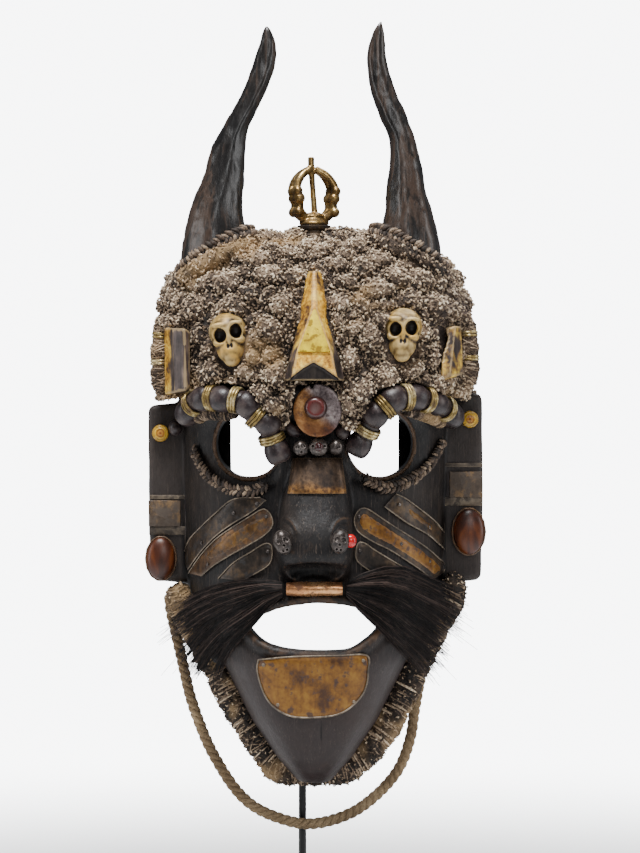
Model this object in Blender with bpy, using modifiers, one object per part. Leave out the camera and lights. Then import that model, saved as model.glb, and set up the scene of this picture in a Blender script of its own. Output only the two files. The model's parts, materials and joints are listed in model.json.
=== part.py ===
"""Horned dance mask on a rod stand.

Metres, +Z up. The face looks towards -Y and the foot of the stand rests on Z = 0.
A place on the mask is given as (u, v, f) in millimetres: u across to the viewer's right,
v above the lowest point of the beard roll, f forward of the open back.
"""
import math

import bmesh
import bpy
import numpy as np
from mathutils import Vector, noise

# Stand
FOOT_WIDTH = 0.230
FOOT_DEPTH = 0.180
FOOT_THICK = 0.012
ROD_RADIUS = 0.0025
ROD_SHOWN = 0.100          # rod between the foot and the beard roll
ROD_ACROSS = -0.008
ROD_FORWARD = 0.020        # rod ahead of the open back
PEG_HEIGHT = 0.045         # how high the rod reaches inside the chin
BACK_Y = 0.055             # where the open back of the mask is

# Carved wood
TEMPLE_HALF = 0.091        # half width where the crown begins
BROW_DEPTH = 0.115         # forehead ahead of the open back
CROWN_LOW = 0.270
CROWN_TOP = 0.349
WALL = 0.016               # wood behind the face
HOLLOW_HALF = 0.057
HOLLOW_LOW = 0.050
HOLLOW_TOP = 0.325
EYE_ACROSS = 0.042
EYE_HEIGHT = 0.2225
EYE_HALF = 0.021
EYE_TALL = 0.0215
EAR_FRONT = 0.045
EAR_BACK = 0.012

# Things put on the wood
GAP = 0.0003               # air between neighbouring pieces
PLATE = 0.0012             # sheet metal
CRUST = 0.0115             # matted hair over the crown
LUMP = 0.0022              # how far a knot of hair stands out
KNOT_SIZE = 0.016
BEAD_RADIUS = 0.0085
RING_RADIUS = 0.0078
ROLL_RADIUS = 0.0100
BRAID_RADIUS = 0.0038
STITCH_RADIUS = 0.0032
BAR_RADIUS = 0.0046
ROPE_RADIUS = 0.0035

MM = 0.001
MASK_Z = FOOT_THICK + ROD_SHOWN

# Height, half width, depth and squareness of the face from the chin to the temples.
FACE_SECTIONS = [
    (5, 14, 91, 3.0), (10, 18, 100, 3.2), (20, 27, 106, 3.4), (44, 43, 112, 3.5),
    (84, 63, 117, 3.5), (104, 72, 115, 3.3), (120, 81, 111, 3.0), (140, 86, 108, 2.8),
    (180, 87, 107, 2.8), (226, 88, 112, 2.8), (250, 90, 116, 2.8),
]


def place(u, v, f):
    """A place on the mask, in metres, as a point of the model."""
    return Vector((u, BACK_Y - f, MASK_Z + v))


def bump(x):
    return max(0.0, 1.0 - x * x) ** 2


def step(x, low, high):
    t = min(max((x - low) / (high - low), 0.0), 1.0)
    return t * t * (3 - 2 * t)


def section(v, grow=0.0):
    """Half width, depth and squareness of the wood at a height; grow adds a skin."""
    if v <= CROWN_LOW:
        rows = np.array(FACE_SECTIONS + [(CROWN_LOW / MM, TEMPLE_HALF / MM, BROW_DEPTH / MM, 2.8)])
        half, depth, square = (np.interp(v / MM, rows[:, 0], rows[:, k]) for k in (1, 2, 3))
        return half * MM + grow, depth * MM + grow, square
    t = min((v - CROWN_LOW) / (CROWN_TOP + grow - CROWN_LOW), 1.0)
    return ((TEMPLE_HALF + grow) * (1 - t ** 3.4) ** (1 / 3.4),
            (BROW_DEPTH + grow) * (1 - t ** 2.6) ** (1 / 2.6), 2.8)


def relief(u, v):
    """Swell of the brows, hollow of the eye sockets and round of the cheeks."""
    a = abs(u)
    brow = 0.005 * bump((v - 0.2475) / 0.016) * step(a, 0.010, 0.028) * (1 - step(a, 0.064, 0.082))
    out = math.hypot(a - EYE_ACROSS, v - EYE_HEIGHT) / 0.034
    socket = 0.008 * bump(out)
    cheek = 0.002 * bump((v - 0.165) / 0.030) * bump((a - 0.055) / 0.035)
    return brow - socket + cheek


def front(u, v):
    """Depth of the wood's front at a place."""
    half, depth, square = section(v)
    a = min(abs(u) / max(half, 0.001), 0.999)
    round_off = (1 - a ** square)
    return depth * round_off ** (1 / square) + relief(u, v) * math.sqrt(round_off)


def facing(u, v):
    """Direction the wood faces at a place, as (u, v, f)."""
    d = 0.001
    slope_u = (front(u + d, v) - front(u - d, v)) / (2 * d)
    slope_v = (front(u, v + d) - front(u, v - d)) / (2 * d)
    n = np.array([-slope_u, -slope_v, 1.0])
    return n / np.linalg.norm(n)


def on_face(u, v, lift):
    """The point seen at (u, v) that stands the given lift off the wood."""
    base_u, base_v = u, v
    for _ in range(4):
        n = facing(base_u, base_v)
        base_u, base_v = u - n[0] * lift, v - n[1] * lift
    return place(u, v, front(base_u, base_v) + n[2] * lift)


def smooth(points, count):
    """Points evenly spaced along a smooth curve through the hand-chosen ones."""
    p = np.array([tuple(q) for q in points], float)
    p = np.vstack([2 * p[0] - p[1], p, 2 * p[-1] - p[-2]])
    fine = []
    for i in range(1, len(p) - 2):
        for t in np.linspace(0, 1, 24, endpoint=i == len(p) - 3):
            a, b, c, d = p[i - 1:i + 3]
            fine.append(0.5 * (2 * b + (c - a) * t + (2 * a - 5 * b + 4 * c - d) * t ** 2
                               + (3 * b - a - 3 * c + d) * t ** 3))
    fine = np.array(fine)
    run = np.concatenate([[0], np.cumsum(np.linalg.norm(np.diff(fine, axis=0), axis=1))])
    want = np.linspace(0, run[-1], count)
    return np.stack([np.interp(want, run, fine[:, k]) for k in range(p.shape[1])], axis=1)


# Scene and collections
for old in list(bpy.data.objects):
    bpy.data.objects.remove(old, do_unlink=True)

parts = bpy.data.collections.new("dance_mask")
cutters = bpy.data.collections.new("cutters")
for group in (parts, cutters):
    bpy.context.scene.collection.children.link(group)

COLOURS = {
    "wood": ((0.045, 0.036, 0.036), 0.45, 0.0), "horn": ((0.030, 0.024, 0.022), 0.25, 0.0),
    "hair_crust": ((0.150, 0.120, 0.095), 0.85, 0.0), "hair": ((0.012, 0.010, 0.010), 0.5, 0.0),
    "brass": ((0.500, 0.330, 0.090), 0.35, 1.0), "copper": ((0.480, 0.230, 0.110), 0.35, 1.0),
    "dark_metal": ((0.120, 0.100, 0.085), 0.45, 1.0), "bead": ((0.080, 0.060, 0.062), 0.35, 0.0),
    "bone": ((0.420, 0.320, 0.150), 0.5, 0.0), "coral": ((0.350, 0.030, 0.030), 0.3, 0.0),
    "amber": ((0.180, 0.060, 0.015), 0.15, 0.0), "yellow": ((0.550, 0.330, 0.030), 0.35, 0.0),
    "silver": ((0.450, 0.430, 0.400), 0.3, 1.0), "black": ((0.010, 0.010, 0.010), 0.4, 0.0),
    "rope": ((0.320, 0.240, 0.150), 0.9, 0.0),
}


def new_object(name, mesh, group, colour=None):
    thing = bpy.data.objects.new(name, mesh)
    group.objects.link(thing)
    if group is cutters:
        thing.display_type = "WIRE"
        thing.hide_render = True
    if colour:
        base, rough, metal = COLOURS[colour]
        material = bpy.data.materials.new(name + "_" + colour)
        material.use_nodes = True
        shader = material.node_tree.nodes["Principled BSDF"]
        shader.inputs["Base Color"].default_value = (*base, 1)
        shader.inputs["Roughness"].default_value = rough
        shader.inputs["Metallic"].default_value = metal
        mesh.materials.clear()
        mesh.materials.append(material)
    return thing


def from_bmesh(name, bm, group, colour=None):
    bmesh.ops.triangulate(bm, faces=bm.faces)
    bmesh.ops.recalc_face_normals(bm, faces=bm.faces)
    mesh = bpy.data.meshes.new(name)
    bm.to_mesh(mesh)
    bm.free()
    return new_object(name, mesh, group, colour)


def loft(name, rings, group, colour=None, hubs=(None, None)):
    """A closed solid through rings of equally many points; a hub closes an end with a fan."""
    bm = bmesh.new()
    rows = [[bm.verts.new(point) for point in ring] for ring in rings]
    count = len(rows[0])
    for low, high in zip(rows, rows[1:]):
        for k in range(count):
            bm.faces.new((low[k], low[(k + 1) % count], high[(k + 1) % count], high[k]))
    for end, hub in ((rows[0][::-1], hubs[0]), (rows[-1], hubs[1])):
        if hub is None:
            bm.faces.new(end)
            continue
        middle = bm.verts.new(hub)
        for k in range(count):
            bm.faces.new((end[k], end[(k + 1) % count], middle))
    return from_bmesh(name, bm, group, colour)


def ring_loop(name, rings, group, colour=None):
    """A closed solid whose last ring joins its first one."""
    bm = bmesh.new()
    rows = [[bm.verts.new(point) for point in ring] for ring in rings]
    count = len(rows[0])
    for i, low in enumerate(rows):
        high = rows[(i + 1) % len(rows)]
        for k in range(count):
            bm.faces.new((low[k], low[(k + 1) % count], high[(k + 1) % count], high[k]))
    return from_bmesh(name, bm, group, colour)


def tube(name, points, radii, group, colour=None, resolution=2):
    """A round rod along points; resolution r gives 4 + 2r sides."""
    curve = bpy.data.curves.new(name, "CURVE")
    curve.dimensions = "3D"
    curve.bevel_depth = 1.0
    curve.bevel_resolution = resolution
    curve.use_fill_caps = True
    line = curve.splines.new("POLY")
    line.points.add(len(points) - 1)
    for knot, point, radius in zip(line.points, points, radii):
        knot.co = (*point, 1)
        knot.radius = radius
    guide = bpy.data.objects.new(name + "_line", curve)
    cutters.objects.link(guide)
    mesh = bpy.data.meshes.new_from_object(guide.evaluated_get(bpy.context.evaluated_depsgraph_get()))
    bpy.data.objects.remove(guide, do_unlink=True)
    bm = bmesh.new()
    bm.from_mesh(mesh)
    bmesh.ops.remove_doubles(bm, verts=bm.verts, dist=0.00002)
    bpy.data.meshes.remove(mesh)
    return from_bmesh(name, bm, group, colour)


def ball(name, centre, size, group, colour=None, across=10, rings=7, turn=0.0):
    """A round solid with half sizes (u, f, v), turned in the face plane."""
    bm = bmesh.new()
    bmesh.ops.create_uvsphere(bm, u_segments=across, v_segments=rings, radius=1)
    for vert in bm.verts:
        x, y, z = (c * s for c, s in zip(vert.co, size))
        vert.co = Vector((x * math.cos(turn) - z * math.sin(turn), y,
                          x * math.sin(turn) + z * math.cos(turn))) + centre
    return from_bmesh(name, bm, group, colour)


def prism(name, outline, low, high, group, colour=None):
    """An outline in (u, v) run from one depth to another."""
    rings = [[place(u * MM, v * MM, f) for u, v in outline] for f in (low, high)]
    return loft(name, rings, group, colour)


def oval(u, v, half, tall, count=16, square=2.0):
    turns = [2 * math.pi * k / count for k in range(count)]
    power = 2 / square
    return [(u + half * math.copysign(abs(math.cos(a)) ** power, math.cos(a)),
             v + tall * math.copysign(abs(math.sin(a)) ** power, math.sin(a))) for a in turns]


def rounded(corners, cut):
    """An outline with each corner cut back twice, so that it reads as round."""
    points = []
    for k, here in enumerate(corners):
        before, after = corners[k - 1], corners[(k + 1) % len(corners)]
        for other, share in ((before, 1.0), (before, 0.35), (after, 0.35), (after, 1.0)):
            reach = math.dist(here, other)
            t = min(cut / reach, 0.45) * share
            points.append(tuple(h + (o - h) * t for h, o in zip(here, other)))
    return points


def measure(mesh):
    """Whether a mesh is closed, and its volume."""
    bm = bmesh.new()
    bm.from_mesh(mesh)
    closed = len(bm.faces) > 3 and all(len(edge.link_faces) == 2 for edge in bm.edges)
    volume = bm.calc_volume(signed=True)
    bm.free()
    return closed, volume


def carve(thing, other, how="DIFFERENCE"):
    """Apply a Boolean; if it leaves an open edge, move the other solid a hair and try again."""
    mine, theirs = measure(thing.data)[1], measure(other.data)[1]
    low = {"DIFFERENCE": mine - theirs, "UNION": max(mine, theirs), "INTERSECT": 0.0}[how]
    high = {"DIFFERENCE": mine, "UNION": mine + theirs, "INTERSECT": min(mine, theirs)}[how]
    slack = 0.002 * (mine + theirs) + 1e-10
    for attempt in range(8):
        other.location = Vector((0.7, -0.5, 0.4)) * 0.00004 * attempt * (-1) ** attempt
        cut = thing.modifiers.new("carve", "BOOLEAN")
        cut.operation = how
        cut.solver = "EXACT"
        cut.object = other
        mesh = bpy.data.meshes.new_from_object(
            thing.evaluated_get(bpy.context.evaluated_depsgraph_get()))
        thing.modifiers.clear()
        closed, volume = measure(mesh)
        if closed and low - slack < volume < high + slack:
            break
    other.location = (0, 0, 0)
    old = thing.data
    materials = [m for m in old.materials][:1]
    thing.data = mesh
    bpy.data.meshes.remove(old)
    for polygon in mesh.polygons:
        polygon.material_index = 0
    mesh.materials.clear()
    for material in materials:
        mesh.materials.append(material)
    return thing


def grown(thing, skin):
    """A cutter like the given thing with a skin of even thickness."""
    copy = new_object(thing.name + "_grown", thing.data.copy(), cutters)
    swell = copy.modifiers.new("swell", "DISPLACE")
    swell.strength = skin
    swell.mid_level = 0.0
    mesh = bpy.data.meshes.new_from_object(
        copy.evaluated_get(bpy.context.evaluated_depsgraph_get()))
    copy.modifiers.clear()
    copy.data = mesh
    return copy


def tidy(thing):
    """Merge slivers and drop crumbs that a cut has left loose."""
    bm = bmesh.new()
    bm.from_mesh(thing.data)
    bmesh.ops.remove_doubles(bm, verts=bm.verts, dist=0.00003)
    bmesh.ops.dissolve_degenerate(bm, dist=0.00002, edges=bm.edges)
    bm.verts.ensure_lookup_table()
    left, groups = set(bm.verts), []
    while left:
        start = left.pop()
        found, edge = {start}, [start]
        while edge:
            vert = edge.pop()
            for link in vert.link_edges:
                other = link.other_vert(vert)
                if other in left:
                    left.discard(other)
                    found.add(other)
                    edge.append(other)
        groups.append(found)
    groups.sort(key=len)
    crumbs = [vert for found in groups[:-1] for vert in found]
    if crumbs:
        bmesh.ops.delete(bm, geom=crumbs, context="VERTS")
    plain = bm.copy()
    bmesh.ops.dissolve_limit(bm, angle_limit=math.radians(FLAT), verts=bm.verts, edges=bm.edges)
    bmesh.ops.triangulate(bm, faces=bm.faces)
    whole = all(len(edge.link_faces) == 2 for edge in bm.edges)
    (bm if whole else plain).to_mesh(thing.data)
    bm.free()
    plain.free()
    return thing


CLEAR = GAP * 1.25
FLAT = 1.0                 # degrees between facets that count as one
skins = {}


def skin_of(thing):
    """The cutter that keeps a neighbour clear of the given thing."""
    if thing.name not in skins:
        skins[thing.name] = grown(thing, CLEAR)
    return skins[thing.name]


def seat(thing, neighbours):
    """Cut a piece so that it clears its neighbours by the gap."""
    for other in neighbours:
        carve(thing, skin_of(other))
    return tidy(thing)


def merge(first, others):
    """Join overlapping solids into the first one."""
    for other in others:
        carve(first, other, "UNION")
        bpy.data.objects.remove(other, do_unlink=True)
    return tidy(first)


# Carved face with nose and ears
def face_loft(name, columns=20, group=cutters):
    rises = [5, 10, 20, 36, 54, 70, 84, 94, 104, 112, 121, 132, 146, 162, 178, 190, 202, 212, 222,
             232, 241, 249, 258, 270]
    heights = [r * MM for r in rises]
    crown = [math.sin(k * math.pi / 12) for k in range(1, 6)]
    heights += [CROWN_LOW + (CROWN_TOP - CROWN_LOW) * t for t in crown]
    rings = []
    for v in heights:
        half, depth, square = section(v)
        ring = []
        for k in range(columns + 1):
            a = math.sin(math.pi * (k / columns - 0.5))
            u = half * a
            f = 0.0 if k in (0, columns) else front(u, v)
            ring.append(place(u, v, f))
        rings.append(ring)
    return loft(name, rings, group)


def nose_loft(name):
    # Height, middle, half width and reach ahead of the face.
    rows = [(133, 0, 19, 3), (140, 0, 22, 14), (146, 0, 23.5, 24), (153, 0, 24.5, 29),
            (165, 0.5, 23.8, 28), (177, 1, 23.2, 23), (189, 1.6, 22.2, 17), (201, 2.2, 19.4, 12),
            (212, 2.2, 16.5, 7), (220, 2.2, 14, 3)]
    rings = []
    for v, middle, half, reach in rows:
        back = front(0, v * MM) - 0.014
        ring = []
        for k in range(11):
            angle = math.pi * k / 10
            c, s = math.cos(angle), math.sin(angle)
            u = middle * MM + half * MM * math.copysign(abs(c) ** 0.62, c)
            ring.append(place(u, v * MM, back + (reach * MM + 0.014) * s ** 0.62))
        rings.append(ring)
    return loft(name, rings, cutters)


EAR_LEFT = [(-80, 130), (-107, 133), (-108.5, 172), (-109, 247), (-80, 250)]
EAR_RIGHT = [(80, 130), (109, 133), (110.3, 185), (109.6, 255), (80, 257)]

blank = face_loft("blank")
skin_only = face_loft("face_skin")
nose = nose_loft("nose")
nose_skin = new_object("nose_skin", nose.data.copy(), cutters)
ears = [prism("ear", rounded(outline, 7), EAR_BACK, EAR_FRONT, cutters)
        for outline in (EAR_LEFT, EAR_RIGHT)]
grown_skin = grown(skin_only, CLEAR)
grown_blank = merge(grown_skin, [grown(part, CLEAR) for part in [nose] + ears])
merge(blank, [nose] + ears)
skins[blank.name] = grown_blank

hollow_rings = []
for v in (50, 58, 70, 90, 120, 160, 200, 240, 275, 300, 315, 325):
    v = v * MM
    span = np.interp(v, (HOLLOW_LOW, 0.070, 0.090, 0.120, 0.160, 0.250, 0.300, HOLLOW_TOP),
                     (0.50, 0.74, 0.88, 0.98, 1.0, 1.0, 0.90, 0.55))
    deep = section(v)[1] - WALL
    deep *= np.interp(v, (HOLLOW_LOW, 0.070, 0.300, HOLLOW_TOP), (0.55, 1.0, 1.0, 0.75))
    ring = []
    for k in range(15):
        a = math.sin(math.pi * (k / 14 - 0.5))
        f = -0.010 if k in (0, 14) else deep * (1 - abs(a) ** 2.4) ** (1 / 2.4)
        ring.append(place(HOLLOW_HALF * span * a, v, f))
    hollow_rings.append(ring)
hollow = loft("hollow", hollow_rings, cutters)

MOUTH = [(-43, 106.8), (-34, 98), (-25, 94), (-9, 91.7), (19, 91.5), (30.5, 96.5), (40.5, 105.6),
         (36, 114.5), (19.5, 119.7), (-1, 121), (-22, 117.8), (-36, 112)]
eye_cuts = [prism("eye_cut", oval(s * EYE_ACROSS / MM, EYE_HEIGHT / MM, EYE_HALF / MM,
                                  EYE_TALL / MM, 16, 2.1), 0.035, 0.200, cutters)
            for s in (-1, 1)]
mouth_cut = prism("mouth_cut", MOUTH, 0.045, 0.200, cutters)

# Beard roll in a groove round the jaw
ROLL_LINE = [(-90.5, 129, 50), (-88, 120, 48), (-77, 100, 50), (-63, 76, 56), (-52.5, 54.5, 60), (-42, 39, 63),
             (-31, 22, 66), (-22, 12, 68), (-8, 11, 69), (9, 11.3, 69), (21, 12.8, 68),
             (31.5, 20.5, 66), (41, 31.5, 64), (48, 41, 62), (59.5, 64, 57), (66.5, 80, 54),
             (77, 100, 50), (88.5, 120, 48), (92.5, 135, 50)]
line = smooth([place(u * MM, v * MM, f * MM) for u, v, f in ROLL_LINE], 32)
swell = [ROLL_RADIUS * (0.96 + 0.11 * math.sin(2.1 * k) * (1 if k % 2 else -0.4))
         for k in range(len(line))]
swell[0] = swell[-1] = ROLL_RADIUS * 0.62
beard_roll = tube("beard_roll", line, swell, parts, "hair_crust", 2)

bore = tube("rod_bore", [place(ROD_ACROSS, v, ROD_FORWARD) for v in (-0.010, PEG_HEIGHT)],
            [ROD_RADIUS + GAP] * 2, cutters, resolution=4)

# Rope holes through the side walls
ROPE_LEVEL, ROPE_FORWARD = 0.128, 0.022
rope_holes = [tube("rope_hole", [place(s * 0.068, ROPE_LEVEL, ROPE_FORWARD),
                                 place(s * 0.100, ROPE_LEVEL, ROPE_FORWARD)],
                   [ROPE_RADIUS + GAP * 2] * 2, cutters, resolution=2) for s in (-1, 1)]

mask_face = new_object("mask_face", blank.data.copy(), parts, "wood")
for cutter in [hollow, mouth_cut, bore] + eye_cuts + rope_holes:
    carve(mask_face, cutter)
seat(mask_face, [beard_roll])

# Matted hair over the crown
def hair_low(u):
    """How far down the hair comes at a place across."""
    return np.interp(abs(u), (0.0, 0.012, 0.019, 0.028, 0.037, 0.050, 0.066, 0.085, 0.105),
                     (0.261, 0.259, 0.231, 0.231, 0.254, 0.261, 0.261, 0.252, 0.251))


def knots(point):
    """Rounded knots: 1 in the middle of a knot, 0 in the furrow between knots."""
    near = noise.voronoi(point / KNOT_SIZE)[0]
    return max(0.0, 1 - (near[0] / max(near[1], 0.001)) ** 2)


columns, rows = 36, 12
hair_rings = []
for j in range(rows + 1):
    ring = []
    for k in range(columns + 1):
        turn = math.pi * (k / columns - 0.5)
        a = math.copysign(abs(math.sin(turn)) ** 0.92, math.sin(turn))
        low = hair_low((TEMPLE_HALF + CRUST) * a)
        share = math.sin(0.445 * math.pi * j / rows)
        v = low + (CROWN_TOP + CRUST - low) * share
        half, depth, square = section(v, CRUST)
        u = half * a
        f = 0.0015 if k in (0, columns) else depth * (1 - abs(a) ** square) ** (1 / square)
        f += relief(u, v) * math.sqrt(max(0, 1 - abs(a) ** square)) if v < CROWN_LOW else 0
        point = place(u, v, f)
        middle = place(0, min(v, 0.300), 0.040)
        out = (point - middle).normalized()
        out.y = 0 if k in (0, columns) else out.y
        ring.append(point + out * LUMP * (2 * knots(point) - 1))
    hair_rings.append(ring)
hair_cap = loft("hair_cap", hair_rings, parts, "hair_crust",
                hubs=(place(0, 0.250, 0.050), place(0, CROWN_TOP + CRUST, 0.016)))
skins["hair_cap"] = grown(hair_cap, CLEAR)
seat(hair_cap, [blank])


# Horns: height, outer and inner edge, depth of the middle and half thickness
HORN_LEFT = [(310, -88, -40, 58, 21), (341, -87, -41, 58, 21), (358, -85, -44, 57, 19.5),
             (375, -81, -47, 56, 17), (395, -72.8, -45.6, 55, 14), (414, -67, -44.7, 54, 12),
             (428, -60, -42.8, 53, 10.5), (445, -50.5, -34.7, 53, 9), (462, -42.5, -27.7, 54, 7.5),
             (474, -38.7, -25.2, 55, 6), (485, -35.3, -26, 56, 4.5), (491, -33, -28.7, 57, 2.2),
             (493.4, -31.8, -30.6, 57, 0.7)]
HORN_RIGHT = [(310, 40, 84, 58, 21), (338, 40.5, 82.5, 58, 21), (356, 42, 80.5, 57, 19.5),
              (372, 45.7, 77, 56, 17), (386, 46.6, 72.8, 55, 15), (403, 48.8, 70, 54, 13),
              (420, 48.6, 65.6, 53, 11), (434, 43, 60.8, 53, 10), (451, 36.8, 53.2, 53, 8.5),
              (468, 33.9, 47.6, 54, 7), (479, 34.7, 46.2, 55, 5.5), (489, 37.6, 45.2, 56, 3.8),
              (495, 41, 44.2, 57, 1.6), (496.8, 42.6, 43.8, 57, 0.6)]


def horn(name, rows, sides=10):
    rings = []
    for v, left, right, middle, thick in rows:
        ring = []
        for k in range(sides):
            a = 2 * math.pi * k / sides
            u = (left + right) / 2 + (right - left) / 2 * math.cos(a)
            f = middle + thick * math.sin(a)
            ring.append(place(u * MM, v * MM, f * MM))
        rings.append(ring)
    return loft(name, rings, parts, "horn")


horns = [seat(horn("horn_left", HORN_LEFT), [blank, hair_cap]),
         seat(horn("horn_right", HORN_RIGHT), [blank, hair_cap])]


def horn_braid(name, middle, arm, depth, count=22):
    """A plaited cord round the foot of a horn, tilted with the crown."""
    path = []
    for k in range(count):
        a = 2 * math.pi * k / count
        u = middle[0] + arm[0] * math.cos(a)
        v = middle[1] + arm[1] * math.cos(a) + 3.0 * math.sin(a)
        path.append(np.array(place(u * MM, v * MM, (middle[2] + depth * math.sin(a)) * MM)))
    centre = sum(path) / count
    rings = []
    for k, point in enumerate(path):
        along = path[(k + 1) % count] - path[k - 1]
        along /= np.linalg.norm(along)
        outward = point - centre
        outward -= along * (outward @ along)
        outward /= np.linalg.norm(outward)
        across = np.cross(along, outward)
        size = BRAID_RADIUS * (1.08 if k % 2 else 0.86)
        rings.append([point + size * (outward * math.cos(b) + across * math.sin(b))
                      for b in (2 * math.pi * j / 5 for j in range(5))])
    return ring_loop(name, rings, parts, "hair_crust")


braids = [seat(horn_braid("horn_braid_left", (-64.0, 346.5, 57), (-22.5, -13), 26),
               [horns[0], blank, hair_cap]),
          seat(horn_braid("horn_braid_right", (61.0, 348.0, 57), (22.5, -12.5), 26),
               [horns[1], blank, hair_cap])]


# Vajra and its collar on top of the crown
def turned(name, profile, centre, group, colour=None, sides=16):
    """A turned solid: (radius, height) pairs above a centre."""
    rings = [[centre + Vector((r * math.cos(a), r * math.sin(a), h))
              for a in (2 * math.pi * k / sides for k in range(sides))] for r, h in profile]
    return loft(name, rings, group, colour)


VAJRA_FORWARD = 0.040
top = place(-0.0003, 0.0, VAJRA_FORWARD)
vajra_collar = turned("vajra_collar", [
    (0.0112, 0.340), (0.0112, 0.3585), (0.0098, 0.3600), (0.0098, 0.3615), (0.0110, 0.3625),
    (0.0110, 0.3650)], top, parts, "dark_metal", 12)
seat(vajra_collar, [blank, hair_cap])
vajra = turned("vajra", [
    (0.0093, 0.3653), (0.0097, 0.3668), (0.0080, 0.3685), (0.0062, 0.3700), (0.0070, 0.3712),
    (0.0040, 0.3735)], top, parts, "brass", 8)
spoke = tube("spoke", [top + Vector((x * MM, 0, z * MM)) for x, z in
                       ((0.6, 370), (-1.2, 388), (-2.6, 402), (-2.8, 409))],
             [0.0021, 0.0019, 0.0021, 0.0024], cutters, resolution=0)
prongs = []
for turn in (180, 0, 52):
    arc = [(4, 369.5, 2.6), (10, 371.5, 4.2), (13.6, 376, 4.4), (14.2, 381.5, 3.8),
           (15.0, 387, 2.6), (12.8, 393.5, 2.3), (8.2, 398.8, 2.2), (2.0, 402.3, 2.2)]
    if turn == 52:
        arc = [(r * 0.95, z, w * 0.8) for r, z, w in arc]
    way = Vector((math.cos(math.radians(turn)), math.sin(math.radians(turn)), 0))
    lean = Vector((-1.2 * MM, 0, 0))
    points = [top + way * r * MM + lean * step(z, 380, 402) + Vector((0, 0, z * MM))
              for r, z, w in arc]
    prongs.append(tube("prong", points, [w * MM for r, z, w in arc], cutters, resolution=0))
merge(vajra, [spoke] + prongs)
seat(vajra, [vajra_collar])

# Crest wedge over the forehead, with its inlay
CREST = [(262.2, 19.0, 14.5, 141.0), (280.0, 15.6, 11.0, 136.2), (308.0, 9.4, 1.6, 128.6),
         (327.0, 5.4, 1.2, 120.4), (331.8, 3.6, 1.0, 118.0)]


def crest_front(v):
    return np.interp(v, [row[0] for row in CREST], [row[3] for row in CREST])


crest_rings = []
for v, wide, flat, deep in CREST:
    back = deep - 34
    side = deep - 7.5 - (332 - v) * 0.06
    crest_rings.append([place(u * MM, v * MM, f * MM) for u, f in (
        (-wide, back), (-wide, side), (-flat, deep), (flat, deep), (wide, side), (wide, back))])
crest_wedge = loft("crest_wedge", crest_rings, parts, "copper")
arch = prism("arch", [(-16.2, 255), (-15.2, 263.5), (-7.5, 269.5), (-0.5, 273.6), (6.5, 269.5),
                      (15.2, 263.5), (16.2, 255)], 0.131, 0.170, cutters)
carve(crest_wedge, arch)
seat(crest_wedge, [blank, hair_cap])
inlay_rings = []
for lift in (GAP, GAP + PLATE):
    inlay_rings.append([place(u * MM, v * MM, crest_front(v) * MM + lift)
                        for u, v in ((-10.4, 280.2), (10.2, 280.0), (1.0, 307.0), (-0.6, 307.0))])
crest_inlay = loft("crest_inlay", inlay_rings, parts, "brass")


# Wooden wedges at the temples
def temple_hull(name, side, points, group, colour):
    """A solid round points whose first number is how far out they are from the temple."""
    bm = bmesh.new()
    for out, v, f in points:
        bm.verts.new(place(side * (TEMPLE_HALF + out * MM), v * MM, f * MM))
    bmesh.ops.convex_hull(bm, input=bm.verts)
    loose = [vert for vert in bm.verts if not vert.link_faces]
    bmesh.ops.delete(bm, geom=loose, context="VERTS")
    return from_bmesh(name, bm, group, colour)


temple_wedges = [
    temple_hull("temple_wedge_left", -1, [
        (6, 297, 62), (6, 254, 62), (5.5, 297, 80), (5, 254, 81), (-0.5, 296, 97),
        (-1.5, 255, 99), (-8, 296, 103), (-9, 256, 105), (-11.5, 294, 100), (-12, 258, 103),
        (-11, 296, 62), (-11.5, 254, 62)], parts, "copper"),
    temple_hull("temple_wedge_right", 1, [
        (4, 298, 62), (4.5, 266, 62), (3.5, 297, 80), (4.5, 267, 84), (-0.5, 298, 90),
        (-4.5, 266, 101), (-8, 296, 92), (-10.5, 262, 103), (-9, 298, 60),
        (-11, 262, 60)], parts, "copper")]
for wedge in temple_wedges:
    seat(wedge, [blank, hair_cap])

# Wrapped rolls of hair at the temples
temple_rolls = []
for side, name, rows in (
        (-1, "temple_roll_left", [(5, 305, 52, 4.5), (7.5, 299, 53, 6.4), (8.4, 293, 54, 5.6),
                                  (9, 285, 54, 7.3), (9.3, 277.5, 54, 5.9), (9, 269, 54, 7.2),
                                  (8, 260, 54, 7.0), (6, 253, 53, 4.6)]),
        (1, "temple_roll_right", [(6, 305, 52, 4.5), (8, 299, 53, 6.2), (9, 294, 54, 5.5),
                                  (9.4, 285, 54, 7.0), (9.8, 276, 54, 5.7), (9.5, 268, 54, 7.0),
                                  (8, 261.5, 54, 6.4), (7, 258, 53, 4.4)])):
    points = [place(side * (TEMPLE_HALF + out * MM), v * MM, f * MM) for out, v, f, r in rows]
    roll = tube(name, points, [r * MM for out, v, f, r in rows], parts, "hair_crust", 2)
    temple_rolls.append(seat(roll, [blank, temple_wedges[0 if side < 0 else 1]]))


# Small skulls set in the hair
def skull(name, u, v, f, turn):
    centre = place(u * MM, v * MM, f * MM)

    def spot(x, y, z):
        c, s = math.cos(turn), math.sin(turn)
        return centre + Vector(((x * c - z * s) * MM, -y * MM, (x * s + z * c) * MM))
    head = ball(name, spot(0, 0, 5.5), (0.0125, 0.0130, 0.0128), parts, "bone", 10, 7, turn)
    jaw = ball("jaw", spot(0, 3.5, -8), (0.0082, 0.0090, 0.0105), cutters, None, 8, 5, turn)
    merge(head, [jaw])
    for x, y, z, r in ((-5.2, 12.0, 4.0, 3.7), (5.2, 12.0, 4.0, 3.7), (0, 12.6, -3.2, 1.8)):
        carve(head, ball("socket", spot(x, y, z), (r * MM, 0.0045, r * MM), cutters, None, 7, 5))
    return seat(head, [blank, hair_cap])


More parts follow.
